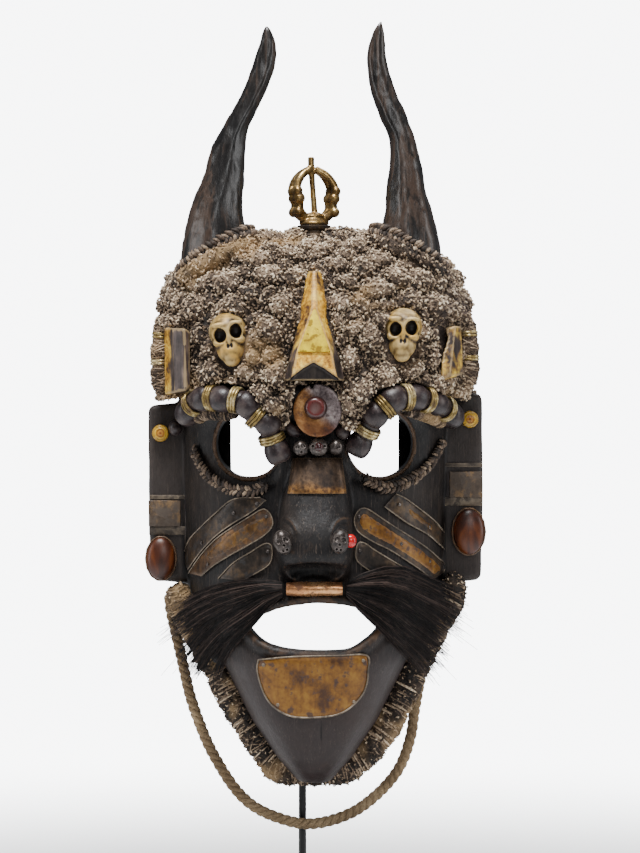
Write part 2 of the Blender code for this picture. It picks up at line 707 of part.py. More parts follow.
skulls = [skull("skull_left", -53.8, 287.5, 114, math.radians(9)),
          skull("skull_right", 56.0, 290.5, 113, math.radians(-3))]

# Third eye
disc_front = front(0.002, 0.2435) + 0.0120
third_eye_disc = prism("third_eye_disc", oval(2.0, 243.5, 15.4, 17.0, 20), 0.100, disc_front,
                       parts, "copper")
carve(third_eye_disc, prism("notch", [(-3.4, 262), (-1.4, 254), (0.4, 262)], 0.09, 0.14, cutters))
seat(third_eye_disc, [blank, crest_wedge])
seat(hair_cap, temple_rolls + [third_eye_disc])
stud_rings = []
for radius, rise in ((5.4, 0.3), (5.4, 2.0), (7.0, 2.6), (7.1, 4.6), (5.8, 7.4), (3.9, 8.2)):
    stud_rings.append([place(u * MM, v * MM, disc_front + rise * MM)
                       for u, v in oval(0.9, 245.1, radius, radius, 8)])
third_eye_stud = loft("third_eye_stud", stud_rings, parts, "coral")

# Brow beads: beads and brass rings on one string each
BROW_LEFT = [(-80.9, 242.4), (-76.7, 248.2), (-70.2, 251.2), (-64.2, 251.6), (-58.2, 250.8),
             (-49.5, 250.2), (-42.1, 246.9), (-36.7, 239.9), (-29.8, 235.7), (-27.0, 226.4),
             (-23.3, 217.2)]
BROW_RIGHT = [(88.0, 240.6), (83.1, 245.0), (77.1, 248.4), (70.6, 250.4), (64.0, 251.8),
              (58.0, 251.8), (50.4, 250.6), (44.6, 245.6), (38.6, 240.6), (33.6, 231.5),
              (28.2, 221.6)]


def bead_string(name, spots):
    """Beads at the even spots and rings at the odd ones."""
    lift = BEAD_RADIUS + GAP
    spine = np.array([on_face(u * MM, v * MM, lift) for u, v in spots])
    path = smooth(spine, 200)
    reach = np.concatenate([[0], np.cumsum(np.linalg.norm(np.diff(path, axis=0), axis=1))])
    run = [reach[np.argmin(np.linalg.norm(path - spot, axis=1))] for spot in spine]
    marks = []
    for k, s in enumerate(run):
        if k % 2:
            marks += [(s - 0.0013, RING_RADIUS * 0.88), (s, RING_RADIUS),
                      (s + 0.0013, RING_RADIUS * 0.88)]
        else:
            marks += [(s - 0.0042, BEAD_RADIUS * 0.80), (s, BEAD_RADIUS),
                      (s + 0.0042, BEAD_RADIUS * 0.80)]
    ahead, behind = path[0] - path[8], path[-1] - path[-9]
    path = np.vstack([path[0] + ahead, path, path[-1] + behind])
    reach = np.concatenate([[-np.linalg.norm(ahead)], reach, [reach[-1] + np.linalg.norm(behind)]])
    points = [Vector([np.interp(s, reach, path[:, k]) for k in range(3)]) for s, r in marks]
    ends = [points[0] + (points[0] - points[1]) * 0.6, points[-1] + (points[-1] - points[-2]) * 0.6]
    radii = [BEAD_RADIUS * 0.42] + [r for s, r in marks] + [BEAD_RADIUS * 0.42]
    return tube(name, [ends[0]] + points + [ends[1]], radii, parts, "bead", 1)


brow_beads = [seat(bead_string("brow_beads_left", BROW_LEFT), [blank, hair_cap]),
              seat(bead_string("brow_beads_right", BROW_RIGHT), [blank, hair_cap])]


# Beads over the bridge of the nose
def small_bead(name, u, v, size, colour, turn=0.0, lift=None):
    centre = on_face(u * MM, v * MM, size[1] * MM + GAP if lift is None else lift * MM)
    return ball(name, centre, [s * MM for s in size], parts, colour, 8, 6, turn)


bridge_beads = [
    small_bead("bridge_bead_left_tube", -13.6, 231.2, (3.9, 3.9, 6.0), "bead", 0.9),
    small_bead("bridge_bead_left", -8.6, 219.6, (4.6, 4.6, 4.6), "silver", lift=9.5),
    small_bead("bridge_bead_middle", 2.7, 220.4, (6.6, 5.0, 5.4), "silver", lift=10.0),
    small_bead("bridge_bead_right", 13.6, 220.4, (4.6, 4.6, 4.6), "silver", lift=9.5),
    small_bead("bridge_bead_right_end", 18.4, 230.2, (5.0, 4.6, 5.2), "bead")]
for k, bead in enumerate(bridge_beads):
    near = [third_eye_disc, hair_cap] if k in (0, 4) else [third_eye_disc]
    seat(bead, [blank, brow_beads[0 if k < 3 else 1]] + near + bridge_beads[:k])

# Beads, straps and stones on the ears
ear_beads = [
    ball("ear_bead_left", place(-0.1005, 0.229, EAR_FRONT + 0.0038), (0.0056, 0.0035, 0.0056),
         parts, "yellow", 10, 6),
    ball("ear_bead_right", place(0.1015, 0.238, EAR_FRONT + 0.0038), (0.0056, 0.0035, 0.0056),
         parts, "yellow", 10, 6),
    ball("brown_bead_left", place(-0.0905, 0.2325, 0.0545), (0.0046, 0.0060, 0.0050), parts,
         "bead", 8, 6),
    ball("brown_bead_right", place(0.0945, 0.2385, 0.0520), (0.0034, 0.0050, 0.0042), parts,
         "bead", 8, 6)]
for k in (0, 1):
    seat(ear_beads[k + 2], [blank, brow_beads[k], ear_beads[k], hair_cap])

ear_straps = [
    prism(name, outline, EAR_FRONT + GAP, EAR_FRONT + GAP + PLATE, parts, "dark_metal")
    for name, outline in (
        ("ear_strap_left", [(-108.4, 168), (-87.6, 168), (-87.6, 185), (-108.6, 185)]),
        ("ear_strap_right", [(88.2, 187), (110.0, 187), (109.8, 204), (88.2, 204)]))]

stones, bezels = [], []
for side, u, v, half, tall in (("left", -100.2, 147.2, 9.3, 13.8), ("right", 100.6, 164.8, 10.2, 14.8)):
    stone = ball("ear_stone_" + side, place(u * MM, v * MM, EAR_FRONT + 0.0065),
                 (half * MM, 0.0052, tall * MM), parts, "amber", 12, 7)
    bezel = prism("ear_bezel_" + side, oval(u, v, half + 1.3, tall + 1.3, 14),
                  EAR_FRONT + GAP, EAR_FRONT + 0.0062, parts, "dark_metal")
    stones.append(stone)
    bezels.append(seat(bezel, [stone]))

# Plaited cords under the eyes
STITCH_LEFT = [(-77.5, 220), (-74.5, 212.5), (-68, 202), (-55.2, 194), (-41, 192), (-29.5, 196)]
STITCH_RIGHT = [(31.5, 200.5), (44.2, 194), (57.8, 197.5), (71.2, 207), (78.5, 217), (82, 224)]
eye_braids = []
for name, spots in (("eye_braid_left", STITCH_LEFT), ("eye_braid_right", STITCH_RIGHT)):
    line = smooth([(u, v) for u, v in spots], 22)
    points = [on_face(u * MM, v * MM, STITCH_RADIUS + GAP) for u, v in line]
    radii = [STITCH_RADIUS * (1.06 if k % 2 else 0.88) for k in range(len(points))]
    eye_braids.append(seat(tube(name, points, radii, parts, "hair_crust", 1), [blank]))

# Sheet metal on the face
outer_skin = grown(skin_only, CLEAR + PLATE)


def sheet(name, outline, colour, skin=outer_skin):
    """Sheet metal that follows the wood inside an outline."""
    plate = prism(name, outline, 0.030, 0.200, parts, colour)
    carve(plate, skin, "INTERSECT")
    carve(plate, grown_blank)
    return tidy(plate)


strips = [
    sheet("strip_upper_left", [(-53.4, 184.4), (-84.6, 153), (-83.6, 141), (-33, 184.6),
                               (-34.5, 187.4)], "dark_metal"),
    sheet("strip_middle_left", [(-34, 182.8), (-29, 181.6), (-26.8, 177.5), (-26.8, 170),
                                (-28.6, 165.4), (-33.7, 163.4), (-64, 137.6), (-82, 137.8),
                                (-82.6, 140)], "copper"),
    sheet("strip_lower_left", [(-28.4, 160.8), (-39.6, 154.0), (-50.4, 146.6), (-61.5, 136.2),
                               (-42, 135.6), (-28.4, 143.6)], "dark_metal"),
    sheet("strip_upper_right", [(53.4, 189), (72, 176), (85, 165), (85, 152), (67.2, 166.8),
                                (48.6, 178.6), (49.6, 184)], "dark_metal"),
    sheet("strip_middle_right", [(27.2, 182), (46.3, 172.6), (67.2, 160.6), (84.4, 144.6),
                                 (81, 131.4), (67.2, 139.9), (44.3, 156), (27, 165.2),
                                 (25.6, 169.5), (25.4, 178)], "brass"),
    sheet("strip_lower_right", [(27.4, 162), (44.3, 152.4), (56.5, 142.8), (54, 137.5),
                                (36.4, 140.4), (27.4, 145.8)], "dark_metal")]

nose_plate = sheet("nose_plate", [(-19.5, 191), (23, 191), (20.5, 213.6), (-16.5, 213.6)], "copper",
                   grown(nose_skin, CLEAR + PLATE))
seat(nose_plate, bridge_beads)

CHIN = [(-35.4, 85.8), (-20, 87.6), (-2.8, 88.5), (16, 88.8), (33.3, 88.6), (34.4, 78.5),
        (32.6, 66.9), (26, 57.6), (15.5, 50.8), (0, 48.7), (-14.9, 49.5), (-26.4, 55.7),
        (-32.7, 64.9), (-36.5, 78.4)]
chin_plate = sheet("chin_plate", CHIN, "brass")

# Small skull beads at the nostrils
nostril_beads = [
    ball("nostril_bead_left", place(-0.0196, 0.1607, front(0.02, 0.16) + 0.0265),
         (0.0060, 0.0056, 0.0080), parts, "silver", 10, 7, 0.30),
    ball("nostril_bead_right", place(0.0162, 0.1614, front(0.02, 0.16) + 0.0300),
         (0.0060, 0.0056, 0.0080), parts, "silver", 10, 7, -0.15),
    ball("nostril_coral", place(0.0232, 0.1616, front(0.02, 0.16) + 0.0250),
         (0.0030, 0.0034, 0.0046), parts, "coral", 8, 6)]
for k, bead in enumerate(nostril_beads):
    seat(bead, [blank] + nostril_beads[:k])

# Moustache: a metal bar and two fans of hair
bar_level = 0.1305
bar_depth = front(0, bar_level) + BAR_RADIUS + GAP
moustache_bar = tube("moustache_bar", [place(u, bar_level, bar_depth) for u in (-0.0195, 0.0195)],
                     [BAR_RADIUS] * 2, parts, "copper", 4)
seat(moustache_bar, [blank])


def hair_rest(u, v):
    """Depth the moustache rests at: the cheek, then a slope down over the beard roll."""
    edge = 0.86 * section(v)[0]
    a = abs(u)
    return max(front(min(a, edge), v) - 0.9 * max(0.0, a - edge), 0.058)


LEFT_TOP = [(-20.3, 134.0), (-33, 135.6), (-50, 134.2), (-70, 129.5), (-91, 118.8)]
LEFT_LOW = [(-20.3, 126.0), (-30, 118.8), (-40.5, 106.5), (-52, 96), (-60, 84), (-65, 69)]


def tuft(name, side, top_edge, low_edge, belly_size, along=8, across=5):
    """A fan of hair that lies over the cheek and the beard roll."""
    upper, lower = smooth(top_edge, along), smooth(low_edge, along)
    rings = []
    for i in range(along):
        s = i / (along - 1)
        spots = []
        for j in range(across):
            w = j / (across - 1)
            u, v = upper[i] * (1 - w) + lower[i] * w
            belly = math.sin(math.pi * w) * belly_size * s * s
            u, v = u - belly * 0.85, v - belly * 0.45
            rest = hair_rest(u * MM, v * MM)
            thick = ((0.0092 - 0.0042 * s) * math.sin(math.pi * min(max(w, 0.1), 0.9)) ** 0.5)
            spots.append((u, v, rest, thick))
        ring = [place(side * -u * MM, v * MM, rest + thick) for u, v, rest, thick in spots]
        ring += [place(side * -u * MM, v * MM, rest - 0.004) for u, v, rest, thick in spots[::-1]]
        rings.append(ring)
    return loft(name, rings, parts, "hair")


tufts = [seat(tuft("moustache_left", -1, LEFT_TOP, LEFT_LOW, 9),
              [blank, beard_roll, moustache_bar] + strips[1:3])]
RIGHT_TOP = [(-20.3, 134.5), (-36, 141), (-48, 143.5), (-58, 143), (-72, 136.5), (-86, 130),
             (-95, 125)]
RIGHT_LOW = [(-20.3, 126.5), (-28, 118), (-37.5, 110), (-48, 100), (-57.4, 90), (-67, 81),
             (-73, 73)]
tufts.append(seat(tuft("moustache_right", 1, RIGHT_TOP, RIGHT_LOW, 3),
                  [blank, beard_roll, moustache_bar] + strips[4:6]))


# Rope hanging from the side walls in front of the rod
ROPE_LINE = [(-72, 128, 22), (-84, 128, 22), (-92.5, 125, 22.5), (-95.5, 117, 23), (-92, 99, 24),
             (-88, 82, 25), (-80.5, 51, 26.5), (-66.5, 17, 28), (-45.5, -12.5, 29),
             (-19.4, -25.7, 29.5), (3.6, -27.6, 29.5), (29.9, -17.8, 29), (52.9, 3.9, 28),
             (62.8, 26.9, 27), (66.5, 50, 26), (72, 75, 25), (82, 98, 24), (92.5, 112, 23),
             (95, 121, 22.5), (91, 127, 22), (83, 128, 22), (72, 128, 22)]
rope_points = smooth([place(u * MM, v * MM, f * MM) for u, v, f in ROPE_LINE], 34)
rope = tube("rope", rope_points, [ROPE_RADIUS] * len(rope_points), parts, "rope", 1)

# Stand
foot = FOOT_WIDTH / 2, FOOT_DEPTH / 2
stand_base = turned("stand_base", [(1, 0), (1, FOOT_THICK)], Vector((0, 0, 0)), parts, "black", 4)
for vert in stand_base.data.vertices:
    x, y = (1 if vert.co.x + vert.co.y > 0 else -1), (1 if vert.co.y - vert.co.x > 0 else -1)
    vert.co.x, vert.co.y = foot[0] * x, foot[1] * y
soften = stand_base.modifiers.new("edge", "BEVEL")
soften.width = 0.0012
soften.segments = 1
rod_spot = place(ROD_ACROSS, 0, ROD_FORWARD)
socket = tube("rod_socket", [Vector((rod_spot.x, rod_spot.y, z)) for z in (0.004, 0.05)],
              [ROD_RADIUS + GAP] * 2, cutters, resolution=4)
carve(stand_base, socket)
stand_rod = tube("stand_rod", [Vector((rod_spot.x, rod_spot.y, 0.004 + GAP)),
                               place(ROD_ACROSS, PEG_HEIGHT - GAP, ROD_FORWARD)],
                 [ROD_RADIUS] * 2, parts, "black", 4)

for piece in parts.objects:
    tidy(piece)
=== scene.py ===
"""Looks of the horned dance mask: carved wood, matted hair, beads, metal strips and rope.

A place on the mask is given as (u, v, f): u across to the viewer's right, v above the lowest
point of the beard roll and f forward of the open back.
"""
import json
import math

import bmesh
import bpy
import numpy as np
from mathutils import Matrix, Vector, geometry, noise

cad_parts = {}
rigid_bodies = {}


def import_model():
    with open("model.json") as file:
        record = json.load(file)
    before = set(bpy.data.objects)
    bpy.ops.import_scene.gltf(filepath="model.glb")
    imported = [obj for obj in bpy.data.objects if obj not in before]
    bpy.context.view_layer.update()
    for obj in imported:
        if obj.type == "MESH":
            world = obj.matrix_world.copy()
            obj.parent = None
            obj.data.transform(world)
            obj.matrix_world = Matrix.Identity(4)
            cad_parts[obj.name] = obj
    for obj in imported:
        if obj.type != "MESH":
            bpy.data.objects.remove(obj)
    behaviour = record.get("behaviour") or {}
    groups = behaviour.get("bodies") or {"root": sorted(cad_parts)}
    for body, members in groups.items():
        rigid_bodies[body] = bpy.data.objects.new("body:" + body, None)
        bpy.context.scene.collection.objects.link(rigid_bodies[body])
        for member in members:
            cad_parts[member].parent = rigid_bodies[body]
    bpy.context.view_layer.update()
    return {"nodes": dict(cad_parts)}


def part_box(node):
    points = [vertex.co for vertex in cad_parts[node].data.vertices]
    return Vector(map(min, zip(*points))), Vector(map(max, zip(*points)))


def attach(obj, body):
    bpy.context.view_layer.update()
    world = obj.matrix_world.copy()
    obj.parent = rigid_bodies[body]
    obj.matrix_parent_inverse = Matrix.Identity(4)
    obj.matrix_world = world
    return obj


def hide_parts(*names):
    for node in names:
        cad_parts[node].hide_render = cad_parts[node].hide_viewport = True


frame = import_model()

# Sizes shared with the frame, in metres
MM = 0.001
BACK_Y = 0.055             # where the open back of the mask is
MASK_Z = 0.112             # lowest point of the beard roll above the table
TEMPLE_HALF = 0.091
CROWN_LOW = 0.270
CROWN_TOP = 0.349
WALL = 0.016
HOLLOW_HALF = 0.057
HOLLOW_LOW = 0.050
HOLLOW_TOP = 0.325
EYE_ACROSS = 0.042
EYE_HEIGHT = 0.2225
EYE_HALF = 0.021
EYE_TALL = 0.0215
EAR_FRONT = 0.045
EAR_BACK = 0.012
PLATE = 0.0012
CRUST = 0.0115
KNOT_SIZE = 0.016
BEAD_RADIUS = 0.0085
ROLL_RADIUS = 0.0100
BRAID_RADIUS = 0.0038
STITCH_RADIUS = 0.0032
BAR_RADIUS = 0.0046
ROPE_RADIUS = 0.0035
ROPE_LEVEL = 0.128
ROPE_FORWARD = 0.022
ROD_RADIUS = 0.0025

# Looks only
WOOD_GRID = 0.00125        # fineness of the carved face
WOOD_FACES = 60000
LUMP = 0.0050              # how far a knot of matted hair stands out
CURL_SPACING = 0.00185
RIVET_RADIUS = 0.0012
RIVET_HEIGHT = 0.0007
HAIR_RADIUS = 0.00030
LOCKS = 70                 # locks on each side of the moustache
LOCK_HAIRS = 22            # hairs in a lock
HAIR_STEPS = 7             # points along a hair of the moustache
WRAP_STEPS = 6             # points along a hair that is wound round a roll
CURL_STEPS = 4             # points along a curl
ROPE_TURN = 0.0155         # length in which a strand of the rope goes once round
ROPE_STEPS = 330
ROPE_FUZZ = 260            # loose fibres on the rope
PHOTO_SCALE = 0.00065      # metres in a pixel of the photograph, at the camera's aim
CAMERA_AWAY = 2.2
AIM_FORWARD = 0.060
AIM_HEIGHT = 0.23335
FRAME_TALL = 0.554
SENSOR = 24
BACKDROP = 8.0             # brightness of the backdrop as the camera sees it
ROOM_LIGHT = 0.14          # brightness of the backdrop as a light
AHEAD = np.array([0, -1.0, 0])

FACE_SECTIONS = np.array([
    (5, 14, 91, 3.0), (10, 18, 100, 3.2), (20, 27, 106, 3.4), (44, 43, 112, 3.5),
    (84, 63, 117, 3.5), (104, 72, 115, 3.3), (120, 81, 111, 3.0), (140, 86, 108, 2.8),
    (180, 87, 107, 2.8), (226, 88, 112, 2.8), (250, 90, 116, 2.8), (270, 91, 115, 2.8)])
NOSE_ROWS = np.array([
    (133, 0, 19, 3), (140, 0, 22, 14), (146, 0, 23.5, 24), (153, 0, 24.5, 29),
    (165, 0.5, 23.8, 28), (177, 1, 23.2, 23), (189, 1.6, 22.2, 17), (201, 2.2, 19.4, 12),
    (212, 2.2, 16.5, 7), (220, 2.2, 14, 3)])
MOUTH = [(-43, 106.8), (-34, 98), (-25, 94), (-9, 91.7), (19, 91.5), (30.5, 96.5), (40.5, 105.6),
         (36, 114.5), (19.5, 119.7), (-1, 121), (-22, 117.8), (-36, 112)]


# Where things are on the face
def place(u, v, f):
    """Places on the mask, in metres, as points of the model."""
    u, v, f = np.broadcast_arrays(u, v, f)
    return np.stack([u, BACK_Y - f, MASK_Z + v], axis=-1).astype(float)


def bump(x):
    return np.clip(1.0 - x * x, 0.0, None) ** 2


def ease(x, low, high):
    t = np.clip((x - low) / (high - low), 0.0, 1.0)
    return t * t * (3 - 2 * t)


def section(v, grow=0.0):
    """Half width, depth and squareness of the wood at a height; grow adds a skin."""
    v = np.asarray(v, float)
    half, depth, square = (np.interp(v / MM, FACE_SECTIONS[:, 0], FACE_SECTIONS[:, k])
                           for k in (1, 2, 3))
    t = np.clip((v - CROWN_LOW) / (CROWN_TOP + grow - CROWN_LOW), 0, 1)
    return ((half * MM + grow) * (1 - t ** 3.4) ** (1 / 3.4),
            (depth * MM + grow) * (1 - t ** 2.6) ** (1 / 2.6), square)


def relief(u, v):
    """Swell of the brows, hollow of the eye sockets and round of the cheeks."""
    a = np.abs(u)
    brow = 0.005 * bump((v - 0.2475) / 0.016) * ease(a, 0.010, 0.028) * (1 - ease(a, 0.064, 0.082))
    socket = 0.008 * bump(np.hypot(a - EYE_ACROSS, v - EYE_HEIGHT) / 0.034)
    cheek = 0.002 * bump((v - 0.165) / 0.030) * bump((a - 0.055) / 0.035)
    return brow - socket + cheek


def front(u, v):
    """Depth of the wood's front at a place, without the nose."""
    half, depth, square = section(v)
    a = np.minimum(np.abs(u) / np.maximum(half, 0.001), 0.999)
    round_off = 1 - a ** square
    return depth * round_off ** (1 / square) + relief(u, v) * np.sqrt(round_off)


def nose_front(u, v):
    """Depth of the nose's front, or nought beside it."""
    u, v = np.asarray(u, float), np.asarray(v, float)
    middle, half, reach = (np.interp(v / MM, NOSE_ROWS[:, 0], NOSE_ROWS[:, k]) * MM
                           for k in (1, 2, 3))
    across = np.abs(u - middle) / half
    inside = (across < 1) & (v > NOSE_ROWS[0, 0] * MM) & (v < NOSE_ROWS[-1, 0] * MM)
    lean = np.clip(across, 0, 1) ** (1 / 0.62)
    rise = np.sqrt(np.clip(1 - lean ** 2, 0, 1)) ** 0.62
    return np.where(inside, front(0.0, v) - 0.014 + (reach + 0.014) * rise, 0.0)


def skin(u, v):
    return np.maximum(front(u, v), nose_front(u, v))


def facing(u, v, surface=front, d=0.001):
    """Direction the wood faces at places, as (u, v, f)."""
    slope_u = (surface(u + d, v) - surface(u - d, v)) / (2 * d)
    slope_v = (surface(u, v + d) - surface(u, v - d)) / (2 * d)
    n = np.stack([-slope_u, -slope_v, np.ones_like(slope_u)], axis=-1)
    return n / np.linalg.norm(n, axis=-1, keepdims=True)


def on_face(u, v, lift, surface=front):
    """Points seen at (u, v) that stand the given lift off the wood."""
    u, v = np.asarray(u, float), np.asarray(v, float)
    base_u, base_v = u, v
    for _ in range(4):
        n = facing(base_u, base_v, surface)
        base_u, base_v = u - n[..., 0] * lift, v - n[..., 1] * lift
    return place(u, v, surface(base_u, base_v) + n[..., 2] * lift)


def out_of(u, v, surface=front):
    """Direction the wood faces at places, in the model's own axes."""
    n = facing(np.asarray(u, float), np.asarray(v, float), surface)
    return np.stack([n[..., 0], -n[..., 2], n[..., 1]], axis=-1)


def smooth(points, count):
    """Points evenly spaced along a smooth curve through the given ones."""
    p = np.array([tuple(q) for q in points], float)
    p = np.vstack([2 * p[0] - p[1], p, 2 * p[-1] - p[-2]])
    fine = []
    for i in range(1, len(p) - 2):
        for t in np.linspace(0, 1, 24, endpoint=i == len(p) - 3):
            a, b, c, d = p[i - 1:i + 3]
            fine.append(0.5 * (2 * b + (c - a) * t + (2 * a - 5 * b + 4 * c - d) * t ** 2
                               + (3 * b - a - 3 * c + d) * t ** 3))
    fine = np.array(fine)
    run = lengths_along(fine)
    want = np.linspace(0, run[-1], count)
    return np.stack([np.interp(want, run, fine[:, k]) for k in range(p.shape[1])], axis=1)


def lengths_along(path):
    """How far along a path each of its points is."""
    return np.concatenate([[0], np.cumsum(np.linalg.norm(np.diff(path, axis=0), axis=1))])


def unit(v):
    v = np.asarray(v, float)
    return v / np.maximum(np.linalg.norm(v, axis=-1, keepdims=True), 1e-12)


def frames_along(path, up):
    """Direction, side and top of a path at each point; top leans towards up."""
    along = unit(np.gradient(path, axis=0))
    side = unit(np.cross(along, up))
    return along, side, np.cross(side, along)


def oval(u, v, half, tall, count=16, square=2.0):
    turns = np.arange(count) * 2 * math.pi / count
    c, s = np.cos(turns), np.sin(turns)
    return np.stack([u + half * np.sign(c) * np.abs(c) ** (2 / square),
                     v + tall * np.sign(s) * np.abs(s) ** (2 / square)], axis=1)


def distance_to(outline, u, v):
    """How far places are from an outline's edge, all in the same unit."""
    a = np.asarray(outline, float)
    b = np.roll(a, -1, axis=0)
    p = np.stack([u, v], axis=-1)[..., None, :]
    t = np.clip(((p - a) * (b - a)).sum(-1) / ((b - a) ** 2).sum(-1), 0, 1)
    return np.linalg.norm(p - (a + (b - a) * t[..., None]), axis=-1).min(-1)


def inside(outline, u, v):
    """Which places are inside an outline."""
    a = np.asarray(outline, float)
    b = np.roll(a, -1, axis=0)
    u, v = np.asarray(u)[..., None], np.asarray(v)[..., None]
    rise = np.where(b[:, 1] == a[:, 1], 1e-9, b[:, 1] - a[:, 1])
    cross_u = a[:, 0] + (b[:, 0] - a[:, 0]) * (v - a[:, 1]) / rise
    crossed = ((a[:, 1] > v) != (b[:, 1] > v)) & (u < cross_u)
    return crossed.sum(-1) % 2 == 1


def beyond(outline, u, v):
    """How far places are outside an outline; nought inside."""
    return np.where(inside(outline, u, v), 0.0, distance_to(outline, u, v))


# Shader maths
class Wire:
    """A socket whose sums are written as Python expressions."""

    def __init__(self, finish, socket):
        self.finish, self.socket = finish, socket

    def _sum(self, how, *terms):
        return self.finish.node("ShaderNodeMath", {"operation": how}, dict(enumerate(terms)))

    def __add__(self, other):
        return self._sum("ADD", self, other)

    def __sub__(self, other):
        return self._sum("SUBTRACT", self, other)

    def __rsub__(self, other):
        return self._sum("SUBTRACT", other, self)

    def __mul__(self, other):
        return self._sum("MULTIPLY", self, other)

    __radd__ = __add__
    __rmul__ = __mul__

    def between(self, low, high):
        """0 below low and 1 above high, with soft ends."""
        return self.finish.node("ShaderNodeMapRange", {"interpolation_type": "SMOOTHSTEP"},
                                {"Value": self, "From Min": low, "From Max": high})


class Finish:
    """A material for one of the record's slots, with its nodes written as calls."""

    def __init__(self, name, slot, rough=0.5, metal=0.0, **plain):
        self.material = bpy.data.materials.new(name)
        self.material.use_nodes = True
        self.slot = slot
        self.tree = self.material.node_tree
        self.shader = self.tree.nodes["Principled BSDF"]
        self.set({"Roughness": rough, "Metallic": metal})
        self.set({key.replace("_", " "): value for key, value in plain.items()})
        self.place = self.node("ShaderNodeTexCoord", {}, {}, "Object")

    def node(self, kind, settings=None, inputs=None, output=0):
        made = self.tree.nodes.new(kind)
        for key, value in (settings or {}).items():
            setattr(made, key, value)
        for key, value in (inputs or {}).items():
            self._feed(made.inputs[key], value)
        return Wire(self, made.outputs[output])

    def _feed(self, socket, value):
        if isinstance(value, Wire):
            self.tree.links.new(value.socket, socket)
        elif isinstance(value, tuple) and len(value) == 3 and socket.type == "RGBA":
            socket.default_value = (*value, 1)
        else:
            socket.default_value = value

    def set(self, values):
        for key, value in values.items():
            self._feed(self.shader.inputs[key], value)
        return self

    def axis(self, name):
        return self.node("ShaderNodeSeparateXYZ", {}, {0: self.place}, name)

    def noise(self, scale, detail=3.0, rough=0.55, where=None, twist=0.0):
        return self.node("ShaderNodeTexNoise", {}, {
            "Vector": where or self.place, "Scale": scale, "Detail": detail, "Roughness": rough,
            "Distortion": twist})

    def streaks(self, scales, detail=3, rough=0.5, twist=0.0):
        """Noise drawn out along one axis."""
        where = self.node("ShaderNodeMapping", {}, {"Vector": self.place, "Scale": scales})
        return self.noise(1.0, detail, rough, where, twist)

    def carried(self, name):
        """A number stored on the mesh."""
        return self.node("ShaderNodeAttribute", {"attribute_name": name}, {}, "Fac")

    def mix(self, share, first, second):
        made = self.tree.nodes.new("ShaderNodeMix")
        made.data_type = "RGBA"
        for key, value in ((0, share), (6, first), (7, second)):
            self._feed(made.inputs[key], value)
        return Wire(self, made.outputs[2])

    def ramp(self, share, *stops):
        made = self.tree.nodes.new("ShaderNodeValToRGB")
        points = made.color_ramp.elements
        while len(points) < len(stops):
            points.new(0.5)
        for point, (at, colour) in zip(points, stops):
            point.position, point.color = at, (*colour, 1)
        self._feed(made.inputs[0], share)
        return Wire(self, made.outputs[0])

    def look(self, colour, rough, height, deep=0.0006, strength=0.5, **more):
        """Feed the shader a colour, a roughness and a bump."""
        bump = self.node("ShaderNodeBump", {}, {"Height": height, "Distance": deep,
                                                "Strength": strength})
        return self.set({"Base Color": colour, "Roughness": rough, "Normal": bump, **more})


def wood_finish():
    m = Finish("charcoal_wood", "wood", rough=0.45, Specular_IOR_Level=0.30)
    patches = m.noise(20, 4)
    fine = m.noise(190, 4)
    grain = m.streaks((380, 380, 34), 5, 0.6, 0.4)
    scratch = m.streaks((820, 820, 40), 2, 0.5, 1.6)
    specks = m.noise(1400, 2)
    worn = m.carried("worn")
    colour = m.ramp(patches, (0.32, (0.003, 0.0026, 0.0028)), (0.50, (0.008, 0.0065, 0.0065)),
                    (0.68, (0.024, 0.016, 0.012)))
    colour = m.mix(grain.between(0.50, 0.70) * 0.45, colour, (0.034, 0.026, 0.023))
    colour = m.mix(scratch.between(0.60, 0.70) * 0.5, colour, (0.120, 0.090, 0.070))
    colour = m.mix(specks.between(0.68, 0.76) * 0.30, colour, (0.150, 0.115, 0.085))
    colour = m.mix((worn + (fine - 0.5) * 0.6).between(0.62, 0.92) * 0.8, colour,
                   (0.100, 0.056, 0.030))
    upward = m.axis("Z")
    low = (1 - (upward - (MASK_Z + 0.075)) * 40 + (patches - 0.5)).between(0.0, 1.0)
    colour = m.mix(low * (0.35 + fine * 0.5), colour, (0.048, 0.034, 0.032))
    aside = m.axis("X")
    ear = ((aside * aside - 0.0072) * 2000 + (patches - 0.5)).between(0.0, 1.0)
    colour = m.mix(ear * (0.30 + fine * 0.5), colour, (0.058, 0.046, 0.041))
    # Painted shade: near black in the hollows of the carving.
    colour = m.mix((1 - worn).between(0.56, 0.80) * 0.9, colour, (0.0015, 0.0012, 0.0012))
    rough = 0.34 + patches * 0.34 + (fine - 0.5) * 0.2
    rise = grain * 0.6 + fine * 0.4 + scratch * 0.35
    return m.look(colour, rough, rise, 0.0008, 0.7)


def horn_finish():
    m = Finish("black_horn", "horn", rough=0.3, Coat_Weight=0.25, Coat_Roughness=0.18)
    streak = m.streaks((260, 260, 11), 5, 0.62, 0.5)
    broad = m.streaks((60, 60, 7), twist=0.3)
    colour = m.ramp(streak * 0.5 + broad * 0.5, (0.38, (0.003, 0.0025, 0.0025)),
                    (0.50, (0.009, 0.007, 0.006)), (0.58, (0.050, 0.030, 0.020)),
                    (0.64, (0.014, 0.010, 0.008)), (0.76, (0.110, 0.074, 0.050)))
    return m.look(colour, 0.20 + streak * 0.30, streak + m.noise(500, 2) * 0.15, 0.0009, 0.6)


